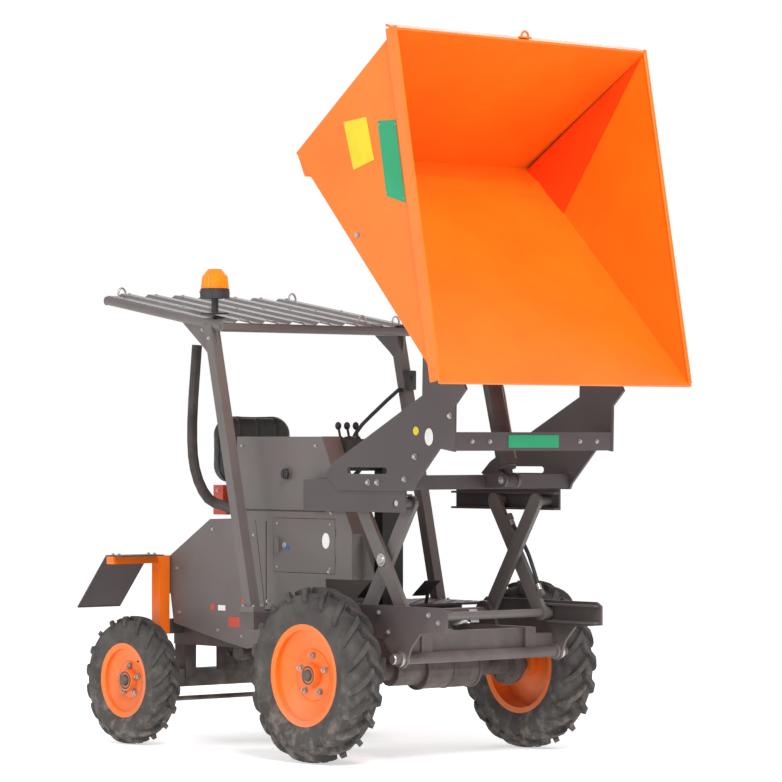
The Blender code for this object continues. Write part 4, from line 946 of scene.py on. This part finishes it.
class DUMPER_OT_scissor(bpy.types.Operator):
    """Add the scissor's pin ends, grease nipples, hose and its ferrules"""
    bl_idname = "dumper.scissor"
    bl_label = "Scissor lift"

    def execute(self, context):
        pins = lift_pins()
        _, inner_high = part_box("scissor_arm_inner")
        outer = bmesh.new()
        inner = bmesh.new()
        for _, axis in both_sides():
            add_pin_end(outer, pins["crossing"] + axis * 0.4002, axis, 0.019)
            add_disc(inner, pins["fixed"] + axis * 0.3702, axis, 0.026, 0.004, 28)
            add_bolt(inner, pins["fixed"] + axis * 0.3738, axis, 0.016, False)
            add_disc(inner, pins["front_top"] + axis * inner_high.y, axis, 0.012, 0.0012, 20)
        finished("outer_arm_pin_ends", outer, "steel", "scissor_outer", 35)
        finished("inner_arm_pin_ends", inner, "steel", "scissor_inner", 35)
        welds = bmesh.new()
        for _, axis in both_sides():
            for place in (pins["foot"], pins["rear_top"]):
                add_spun(welds, [(0.020, 0.0), (0.024, 0.0045), (0.027, 0.0)], place + axis * 0.4, axis, 32)
        finished("outer_arm_welds", welds, "grey", "scissor_outer", 50)
        arm = pins["rear_top"] - pins["foot"]
        up = arm.normalized()
        outward = Vector((up.z, 0, -up.x))
        y = centre("lift_hose").y
        route = []
        for share, reach in ((0.164, 0.046), (0.20, 0.047), (0.28, 0.054), (0.465, 0.064), (0.65, 0.054),
                             (0.73, 0.047), (0.766, 0.046)):
            route.append(pins["foot"] + arm * share + outward * reach + Vector((0, y, 0)))
        add_hose("lift_hose_run", route, 0.0088, "hose", "scissor_outer", ("lift_hose",))
        ends = bmesh.new()
        for place, turn in ((route[0], 1), (route[-1], -1)):
            add_disc(ends, place - up * turn * 0.0008, up * turn, 0.0125, 0.022, 20)
            add_disc(ends, place - up * turn * 0.006, up * turn, 0.0118, 0.008, 6)
        finished("lift_hose_ferrules", ends, "steel", "scissor_outer", 35)
        return {"FINISHED"}


class DUMPER_OT_rams(bpy.types.Operator):
    """Add the rams' gland nuts, ports and hoses"""
    bl_idname = "dumper.rams"
    bl_label = "Rams"

    def execute(self, context):
        for name, radius, length in (("tip", 0.040, 0.485), ("lift", 0.035, 0.560)):
            base = joint_place(f"{name}_ram_pivot")
            along = Vector(JOINTS[f"{name}_ram_stroke"]["axis"]).normalized()
            shape = bmesh.new()
            add_spun(shape, [(radius + 0.0006, 0.0), (radius + 0.004, 0.002), (radius + 0.004, 0.034),
                             (radius + 0.0006, 0.036)], base + along * (length - 0.040), along, 40)
            add_spun(shape, [(radius + 0.0004, 0.0), (radius + 0.003, 0.003), (radius + 0.0004, 0.006)],
                     base + along * 0.056, along, 40)
            for reach in (0.085, length - 0.060):
                foot = base + along * reach + Vector((0, radius - 0.002, 0))
                add_disc(shape, foot, (0, 1, 0), 0.012, 0.012, 20)
                add_disc(shape, foot + Vector((0, 0.012, 0)), (0, 1, 0), 0.0095, 0.010, 6)
            finished(f"{name}_ram_gland", shape, "cast", f"{name}_barrel", 35)
            places = ((0.085, 0.018), (0.120, 0.022), (length * 0.5, 0.020), (length - 0.095, 0.022),
                      (length - 0.060, 0.018))
            pipe = [base + along * reach + Vector((0, radius + off, 0)) for reach, off in places]
            add_hose(f"{name}_ram_pipe", pipe, 0.0045, "steel", f"{name}_barrel")
        return {"FINISHED"}


class DUMPER_OT_body(bpy.types.Operator):
    """Add seams, louvres, fasteners, blank labels, handles and trim to the engine cover and the console"""
    bl_idname = "dumper.body"
    bl_label = "Engine cover and console"

    def execute(self, context):
        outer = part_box("engine_hood")[1].y
        console_low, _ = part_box("side_console")
        bolts = bmesh.new()
        add_side_bolts(bolts, ((-0.300, 0.640), (-0.345, 0.950), (-0.640, 0.970), (-0.900, 0.790), (-0.880, 0.590),
                               (-0.600, 0.520), (-0.430, 0.500)), outer, 0.012)
        for x, z in ((-0.430, 1.345), (0.080, 1.345), (-0.430, 1.055), (0.185, 1.055), (0.170, 0.800),
                     (-0.250, 0.660)):
            add_bolt(bolts, (x, -outer, z), RIGHT, 0.012)
        finished("body_bolts", bolts, "steel", "chassis", 35)
        louvres = bmesh.new()
        for row in range(6):
            z = 0.620 + row * 0.034
            add_block(louvres, (-0.800, outer - 0.002, z), (-0.590, outer + 0.006, z + 0.014), 0.004)
        finished("hood_louvres", louvres, "grey", "chassis", 30)
        rear = bmesh.new()
        slope_low = Vector((-0.937, 0, 0.640))
        slope_high = Vector((-0.976, 0, 0.815))
        run = slope_high - slope_low
        normal = Vector((-run.z, 0, run.x)).normalized()
        turn = set_up((slope_low + slope_high) / 2, run, normal)
        for row in range(5):
            add_block(rear, (-0.012, -0.22, -0.002), (0.012, 0.22, 0.007), 0.003,
                      turn @ Matrix.Translation((run.length * (row - 2) * 0.17, 0, 0)))
        finished("hood_rear_louvres", rear, "grey", "chassis", 30)
        trim = bmesh.new()
        seam = console_low.x + 0.004
        add_label(trim, (seam, 1.0580), (0.140, 1.0640), -outer)
        add_label(trim, (-0.263, 0.640), (-0.259, 1.012), -outer)
        finished("body_seams", trim, "plastic", "chassis", 20)
        for name, finish, back, front, half_y, half_z, edge in (
                ("housings", "plastic", -1.003, -0.965, 0.045, 0.030, 0.006),
                ("lenses", "red", -1.009, -1.002, 0.038, 0.024, 0.002)):
            lamps = bmesh.new()
            for side in SIDES.values():
                y, z = side * 0.330, 0.700
                add_block(lamps, (back, y - half_y, z - half_z), (front, y + half_y, z + half_z), edge)
            finished(f"tail_lamp_{name}", lamps, finish, "chassis", 30)
        labels = {
            "white_plate": ((-0.575, 0.620, 0.026, 0.012),),
            "red": ((-0.468, 0.560, 0.058, 0.022), (-0.640, 0.622, 0.014, 0.014), (-0.420, 0.655, 0.016, 0.010)),
        }
        for finish, spots in labels.items():
            shape = bmesh.new()
            for x, z, half_x, half_z in spots:
                add_label(shape, (x - half_x, z - half_z), (x + half_x, z + half_z), -outer, 0.0003)
            finished(f"body_blank_label_{finish}", shape, finish, "chassis", 20)
        knob = bmesh.new()
        place = Vector((-0.1092, -outer - 0.0118, 1.222))
        profile = [(0.0005, 0.016), (0.018, 0.016), (0.023, 0.011), (0.024, 0.0), (0.0005, 0.0)]
        add_spun(knob, profile, place, RIGHT, 32)
        add_block(knob, place + Vector((-0.004, -0.021, -0.017)), place + Vector((0.004, -0.012, 0.017)), 0.002)
        finished("console_knob", knob, "plastic", "chassis", 35)
        latch = bmesh.new()
        door_low, door_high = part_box("access_door")
        add_spun(latch, [(0.0005, 0.003), (0.010, 0.003), (0.013, 0.0), (0.0005, 0.0)],
                 Vector((door_low.x + 0.070, -outer, 0.910)), RIGHT, 24)
        for x in (door_low.x + 0.020, door_high.x - 0.040):
            for z in (door_low.z + 0.022, door_high.z - 0.022):
                add_disc(latch, (x, -outer, z), RIGHT, 0.005, 0.002, 14, 0.003)
        finished("access_door_latch", latch, "steel", "access_door", 35)
        disc = bmesh.new()
        add_oval(disc, (0.148, -outer, 0.934), 0.034, OVAL)
        finished("access_door_white_disc", disc, "white_plate", "access_door", 30)
        tag = bmesh.new()
        add_block(tag, (-0.132, -outer - 0.0012, 0.892), (-0.098, -outer + 0.0004, 0.906), 0.0004)
        finished("access_door_blue_tag", tag, "blue_plate", "access_door", 20)
        return {"FINISHED"}


class DUMPER_OT_seat(bpy.types.Operator):
    """Replace the plain seat solids by stuffed, piped pads"""
    bl_idname = "dumper.seat"
    bl_label = "Seat"

    def execute(self, context):
        settings = context.scene.dumper_seat
        for name, axis, corner, crown, drop in (
                ("cushion", 2, 0.045, 0.30, 0.030), ("backrest", 0, 0.085, 0.45, 0.035)):
            pad = padded_block(f"{name}_pad", f"seat_{name}", axis, corner, crown, settings)
            piping_loop(f"{name}_piping", pad, axis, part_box(f"seat_{name}")[1][axis] - drop)
        base_low, base_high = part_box("seat_base")
        bolts = bmesh.new()
        wing_bolts = [(base_low.x + 0.035, base_high.z - drop) for drop in (0.025, 0.085)]
        box_bolts = [(x, base_high.z - 0.030) for x in (base_low.x + 0.130, base_high.x - 0.040)]
        add_side_bolts(bolts, wing_bolts, 0.2002, 0.014)
        add_side_bolts(bolts, box_bolts, 0.1602, 0.014)
        finished("seat_bolts", bolts, "steel", "chassis", 35)
        return {"FINISHED"}


class DUMPER_OT_controls(bpy.types.Operator):
    """Add gauges, levers, pedals and a floor tread pattern to the operator's station"""
    bl_idname = "dumper.controls"
    bl_label = "Controls"

    def execute(self, context):
        _, dash_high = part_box("dash_column")
        face = Vector((0.0097, 0, 1.3375))
        normal = Vector((-0.966, 0, 0.258)).normalized()
        gauges = bmesh.new()
        glass = bmesh.new()
        for y, radius in ((-0.20, 0.030), (-0.125, 0.024), (0.09, 0.020)):
            place = face + Vector((0, y, 0))
            bezel = [(radius * 0.86, 0.006), (radius, 0.008), (radius * 1.10, 0.004), (radius * 1.10, 0.0)]
            add_spun(gauges, bezel, place, normal, 32)
            add_disc(glass, place, normal, radius * 0.87, 0.003, 32)
        for y in (-0.07, -0.045, -0.02):
            add_disc(gauges, face + Vector((0, y, 0)), normal, 0.007, 0.008, 14, 0.005)
        finished("gauge_bezels", gauges, "steel", "chassis", 40)
        finished("gauge_dials", glass, "white_plate", "chassis", 30)
        grips = bmesh.new()
        for y, x in ((-0.255, 0.030), (-0.215, 0.042), (-0.175, 0.054)):
            foot = Vector((x + 0.045, y, dash_high.z - 0.001))
            tip = foot + Vector((-0.016, 0, 0.058))
            add_disc(grips, foot, tip - foot, 0.0055, (tip - foot).length, 14)
            add_disc(grips, foot, UP, 0.014, 0.012, 20, 0.008)
            made = bmesh.ops.create_uvsphere(grips, u_segments=20, v_segments=12, radius=0.014,
                                             matrix=Matrix.Translation(tip))
            bmesh.ops.scale(grips, verts=made["verts"], vec=Vector((1, 1, 1.25)), space=Matrix.Translation(-tip))
        finished("control_levers", grips, "plastic", "chassis", 40)
        pedals = bmesh.new()
        floor_low, floor_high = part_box("footwell_floor")
        for y in (-0.16, 0.16):
            low = Vector((floor_high.x - 0.115, y - 0.045, floor_high.z + 0.030))
            turn = Matrix.Translation(low) @ Matrix.Rotation(math.radians(-38), 4, "Y")
            add_block(pedals, (0, 0, 0), (0.110, 0.090, 0.006), 0.002, turn)
            for rib in range(5):
                x = 0.012 + rib * 0.020
                add_block(pedals, (x, 0.006, 0.006), (x + 0.008, 0.084, 0.010), 0.001, turn)
            add_disc(pedals, low + Vector((0.040, 0.045, -0.030)), (0.25, 0, 1), 0.008, 0.050, 14)
        finished("pedals", pedals, "plastic", "chassis", 35)
        plate = bmesh.new()
        for row in range(9):
            for column in range(16):
                x = floor_low.x + 0.030 + row * 0.050
                y = floor_low.y + 0.030 + column * 0.055
                turn = Matrix.Translation((x, y, floor_high.z)) @ Matrix.Rotation(
                    math.radians(45 if (row + column) % 2 else -45), 4, "Z")
                add_block(plate, (-0.012, -0.0022, -0.0004), (0.012, 0.0022, 0.0016), 0.0, turn)
        finished("floor_tread_pattern", plate, "dark_grey", "chassis", 30)
        return {"FINISHED"}


class DUMPER_OT_roof(bpy.types.Operator):
    """Add the roll-over frame's feet bolts and rings, the roof's clamps and the beacon's fittings"""
    bl_idname = "dumper.roof"
    bl_label = "Roof and posts"

    def execute(self, context):
        sheet_low, sheet_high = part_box("roof_sheet")
        fixings = bmesh.new()
        for side in SIDES.values():
            y = side * 0.545
            for x in (-0.211, -0.140):
                add_bolt(fixings, (x, y + 0.024, 0.645), UP, 0.012)
                add_bolt(fixings, (x, y - 0.024, 0.645), UP, 0.012)
            for x, z in ((-0.450, 1.820), (-0.520, 1.860), (-0.620, 1.905)):
                add_bolt(fixings, (x, side * 0.5712 if x > -0.50 else side * 0.5512, z), (0, side, 0), 0.014)
        finished("post_bolts", fixings, "steel", "chassis", 35)
        switch = bmesh.new()
        add_block(switch, (-0.396, 0.520, 1.600), (-0.356, 0.568, 1.690), 0.005)
        add_disc(switch, (-0.356, 0.544, 1.655), (1, 0, 0), 0.010, 0.006, 16)
        finished("post_switch_box", switch, "plastic", "chassis", 35)
        back = sheet_low.x - sheet_high.x
        climb = sheet_high.z - sheet_low.z - 0.012
        run = Vector((back, 0, climb)).normalized()
        screws = bmesh.new()
        up = Vector((run.z, 0, -run.x))
        for x in (-0.400, -0.810, -1.215):
            for rib in range(7):
                y = -0.545 + (rib + 0.70) * 1.09 / 7
                add_bolt(screws, (x, y, sheet_low.z + 0.012 + (x - sheet_high.x) / back * climb), up, 0.010)
        finished("roof_screws", screws, "steel", "chassis", 35)
        for index, (x, y) in enumerate(((-0.430, 0.300), (-0.430, 0.505), (-1.180, 0.505), (-1.180, -0.505))):
            place = Vector((x, y, sheet_low.z + 0.010 + (x - sheet_high.x) / back * climb))
            add_hose(f"roof_ring_{index}", half_ring(place, 0.022, 0.034), 0.0045, "steel", "chassis")
        middle = centre("beacon_dome")
        middle.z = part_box("beacon_dome")[0].z
        collar = bmesh.new()
        add_spun(collar, [(0.058, -0.002), (0.064, -0.002), (0.065, 0.010), (0.0605, 0.012)],
                 middle, UP, 48)
        for turn in range(3):
            off = Matrix.Rotation(math.tau * turn / 3, 3, "Z") @ Vector((1, 0, 0))
            add_bolt(collar, middle + off * 0.0655 - Vector((0, 0, 0.004)), off, 0.007, False)
        finished("beacon_collar", collar, "plastic", "chassis", 40)
        flutes = bmesh.new()
        for turn in range(24):
            off = Matrix.Rotation(math.tau * turn / 24, 3, "Z") @ Vector((1, 0, 0))
            foot = middle + off * 0.0595 + Vector((0, 0, 0.014))
            head = middle + off * 0.0540 + Vector((0, 0, 0.066))
            add_disc(flutes, foot, head - foot, 0.0030, (head - foot).length, 8, 0.0026)
        finished("beacon_flutes", flutes, "amber", "chassis", 40)
        return {"FINISHED"}


# How far the outer faces of the guide towers, the rails and the rear brackets stand from the middle.
TOWER_FACE = 0.4532
RAIL_FACE = 0.3302
BRACKET_FACE = 0.4095


class DUMPER_OT_chassis(bpy.types.Operator):
    """Add clamps, pipes, caps and fasteners to the chassis, the axles and the engine"""
    bl_idname = "dumper.chassis"
    bl_label = "Chassis and axles"

    def execute(self, context):
        axle = centre("tyre_front_right")
        tube = Vector((0.7008, 0, 0.450))
        clamps = bmesh.new()
        for side, axis in both_sides():
            add_spun(clamps, [(0.0245, -0.018), (0.034, -0.018), (0.034, 0.018), (0.0245, 0.018)],
                     tube + axis * 0.452, axis, 32)
            add_disc(clamps, tube + axis * 0.4952, axis, 0.022, 0.006, 28, 0.019)
        add_side_bolts(clamps, ((0.560, 0.640), (0.880, 0.640), (0.940, 0.610), (0.620, 0.560)), TOWER_FACE, 0.016)
        rail_bolts = [(x, 0.500) for x in (-0.20, 0.05, 0.30, 0.52, 0.64)]
        add_side_bolts(clamps, rail_bolts, RAIL_FACE, 0.018)
        add_side_bolts(clamps, ((-1.005, 0.520), (-0.955, 0.520)), BRACKET_FACE, 0.012, False)
        finished("chassis_fasteners", clamps, "steel", "chassis", 35)
        drive = bmesh.new()
        for y, radius in ((-0.050, 0.089), (0.100, 0.087), (0.250, 0.089)):
            add_spun(drive, [(radius - 0.006, -0.007), (radius, -0.006), (radius, 0.006), (radius - 0.006, 0.007)],
                     Vector((axle.x, y, axle.z)), (0, 1, 0), 48)
        for side in SIDES.values():
            add_spun(drive, [(0.084, -0.006), (0.090, -0.004), (0.090, 0.004), (0.084, 0.006)],
                     Vector((axle.x, side * 0.488, axle.z)), (0, 1, 0), 48)
            for turn in (math.tau * index / 8 for index in range(8)):
                place = Vector((axle.x + 0.074 * math.cos(turn), side * 0.4598, axle.z + 0.074 * math.sin(turn)))
                add_bolt(drive, place, (0, -side, 0), 0.011, False)
        for turn in (math.tau * index / 10 for index in range(10)):
            place = Vector((axle.x + 0.077 * math.cos(turn), 0.2600, axle.z + 0.077 * math.sin(turn)))
            add_bolt(drive, place, (0, 1, 0), 0.010, False)
        finished("axle_housing_ribs", drive, "cast", "chassis", 38)
        sump = bmesh.new()
        engine_low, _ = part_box("engine")
        for row in range(7):
            x = engine_low.x + 0.055 + row * 0.045
            add_block(sump, (x, -0.253, engine_low.z + 0.025), (x + 0.008, 0.253, engine_low.z + 0.180), 0.002)
        add_disc(sump, (-0.560, -0.2502, 0.420), RIGHT, 0.038, 0.070, 32, 0.036)
        add_disc(sump, (-0.700, -0.2502, 0.400), RIGHT, 0.012, 0.014, 6)
        add_disc(sump, (-0.640, 0.0, engine_low.z + 0.001), (0, 0, -1), 0.014, 0.012, 6)
        finished("engine_ribs_and_filter", sump, "cast", "chassis", 35)
        add_hose("drive_hose_left", [(-0.400, 0.150, 0.440), (-0.250, 0.165, 0.415), (0.000, 0.160, 0.400),
                                     (0.120, 0.150, 0.400), (0.170, 0.130, 0.398)], 0.011, "hose", "chassis")
        add_hose("drive_hose_right", [(-0.400, 0.080, 0.440), (-0.250, 0.090, 0.405), (0.000, 0.085, 0.385),
                                      (0.120, 0.085, 0.380), (0.170, 0.090, 0.378)], 0.011, "hose", "chassis")
        add_hose("brake_pipe", [(-0.300, -0.255, 0.430), (-0.100, -0.262, 0.428), (0.200, -0.262, 0.428),
                                (0.300, -0.240, 0.430), (0.330, -0.180, 0.441)], 0.0045, "steel", "chassis")
        return {"FINISHED"}


class DUMPER_OT_mudguards(bpy.types.Operator):
    """Add the mudguards' bolts and rolled edges"""
    bl_idname = "dumper.mudguards"
    bl_label = "Mudguards"

    def execute(self, context):
        for side_name, side in SIDES.items():
            low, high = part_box(f"mudguard_{side_name}")
            shape = bmesh.new()
            for x in (-0.985, -0.940):
                for y in (0.500, 0.700):
                    add_bolt(shape, (x, side * y, high.z), UP, 0.012)
            finished(f"mudguard_bolts_{side_name}", shape, "steel", "chassis", 35)
            # The rolled edge takes the mudguards' dark grey, which is painted shade on orange steel.
            edge = bmesh.new()
            rear_start = Vector((low.x + 0.0025, side * 0.482, low.z + 0.003))
            add_disc(edge, rear_start, (0, side, 0), 0.0055, 0.236, 14)
            finished(f"mudguard_rolled_edge_{side_name}", edge, "dark_grey", "chassis", 40)
        return {"FINISHED"}


def add_area_light(name, place, target, size, power, colour=(1.0, 1.0, 1.0)):
    light = bpy.data.lights.new(name, "AREA")
    light.shape = "RECTANGLE"
    light.size = size[0]
    light.size_y = size[1]
    light.energy = power
    light.color = colour
    lamp = bpy.data.objects.new(name, light)
    bpy.context.scene.collection.objects.link(lamp)
    lamp.location = place
    lamp.rotation_euler = (Vector(target) - Vector(place)).to_track_quat("-Z", "Y").to_euler()


class DUMPER_OT_stage(bpy.types.Operator):
    """Lay a pale floor, soft studio light and the camera"""
    bl_idname = "dumper.stage"
    bl_label = "Stage"

    def execute(self, context):
        settings = context.scene.dumper_stage
        floor_mesh = bpy.data.meshes.new("studio_floor")
        shape = bmesh.new()
        bmesh.ops.create_grid(shape, x_segments=1, y_segments=1, size=settings.floor_half)
        shape.to_mesh(floor_mesh)
        shape.free()
        floor = bpy.data.objects.new("studio_floor", floor_mesh)
        bpy.context.scene.collection.objects.link(floor)
        pale = Shader("pale_floor", Roughness=0.9, Emission_Color=(1.0, 1.0, 1.0, 1.0), Emission_Strength=0.52)
        pale.set(Base_Color=(0.90, 0.90, 0.90, 1.0))
        floor_mesh.materials.append(pale.material)
        world = bpy.data.worlds.new("studio")
        world.use_nodes = True
        lighting = world.node_tree.nodes["Background"]
        lighting.inputs["Color"].default_value = (1.0, 1.0, 1.0, 1.0)
        lighting.inputs["Strength"].default_value = settings.sky
        backdrop = world.node_tree.nodes.new("ShaderNodeBackground")
        backdrop.inputs["Color"].default_value = (1.0, 1.0, 1.0, 1.0)
        sight = world.node_tree.nodes.new("ShaderNodeLightPath")
        choice = world.node_tree.nodes.new("ShaderNodeMixShader")
        links = world.node_tree.links
        links.new(sight.outputs["Is Camera Ray"], choice.inputs[0])
        links.new(lighting.outputs[0], choice.inputs[1])
        links.new(backdrop.outputs[0], choice.inputs[2])
        links.new(choice.outputs[0], world.node_tree.nodes["World Output"].inputs[0])
        bpy.context.scene.world = world
        middle = (0.0, 0.0, 1.3)
        add_area_light("key_light", (7.0, -3.4, 8.0), middle, (3.5, 3.5), 760)
        add_area_light("side_light", (-2.5, -7.0, 3.2), middle, (4.0, 3.0), 110, (1.0, 0.97, 0.94))
        add_area_light("rim_light", (-5.0, 5.0, 6.0), middle, (4.0, 4.0), 120)
        camera_data = bpy.data.cameras.new("camera")
        camera_data.sensor_width = 36.0
        camera_data.lens = settings.camera_lens
        camera_data.clip_end = 200.0
        camera = bpy.data.objects.new("camera", camera_data)
        bpy.context.scene.collection.objects.link(camera)
        camera.location = settings.camera_place
        camera.rotation_euler = (math.pi / 2 + settings.camera_pitch, 0.0, settings.camera_azimuth)
        bpy.context.scene.camera = camera
        bpy.context.scene.view_settings.view_transform = "Standard"
        return {"FINISHED"}


OPERATORS = (
    DUMPER_OT_finishes, DUMPER_OT_wheels, DUMPER_OT_skip, DUMPER_OT_carrier, DUMPER_OT_scissor, DUMPER_OT_rams,
    DUMPER_OT_body, DUMPER_OT_seat, DUMPER_OT_controls, DUMPER_OT_roof, DUMPER_OT_chassis, DUMPER_OT_mudguards,
    DUMPER_OT_stage,
)
SETTINGS = {
    "dumper_colours": DumperColours, "dumper_wheels": WheelSizes, "dumper_seat": SeatSizes,
    "dumper_stage": StageSizes,
}


class DUMPER_PT_panel(bpy.types.Panel):
    """The dumper's tools and sizes"""
    bl_label = "Site dumper"
    bl_idname = "DUMPER_PT_panel"
    bl_space_type = "VIEW_3D"
    bl_region_type = "UI"
    bl_category = "Dumper"

    def draw(self, context):
        for attribute, group in SETTINGS.items():
            box = self.layout.box()
            for name in group.__annotations__:
                box.prop(getattr(context.scene, attribute), name)
        for operator in OPERATORS:
            self.layout.operator(operator.bl_idname)


def register():
    for group in SETTINGS.values():
        bpy.utils.register_class(group)
    for attribute, group in SETTINGS.items():
        setattr(bpy.types.Scene, attribute, bpy.props.PointerProperty(type=group))
    for operator in OPERATORS:
        bpy.utils.register_class(operator)
    bpy.utils.register_class(DUMPER_PT_panel)


def unregister():
    bpy.utils.unregister_class(DUMPER_PT_panel)
    for operator in reversed(OPERATORS):
        bpy.utils.unregister_class(operator)
    for attribute in SETTINGS:
        delattr(bpy.types.Scene, attribute)
    for group in SETTINGS.values():
        bpy.utils.unregister_class(group)


def main():
    register()
    for operator in OPERATORS:
        getattr(bpy.ops.dumper, operator.bl_idname.split(".")[1])()


if __name__ == "__main__":
    main()
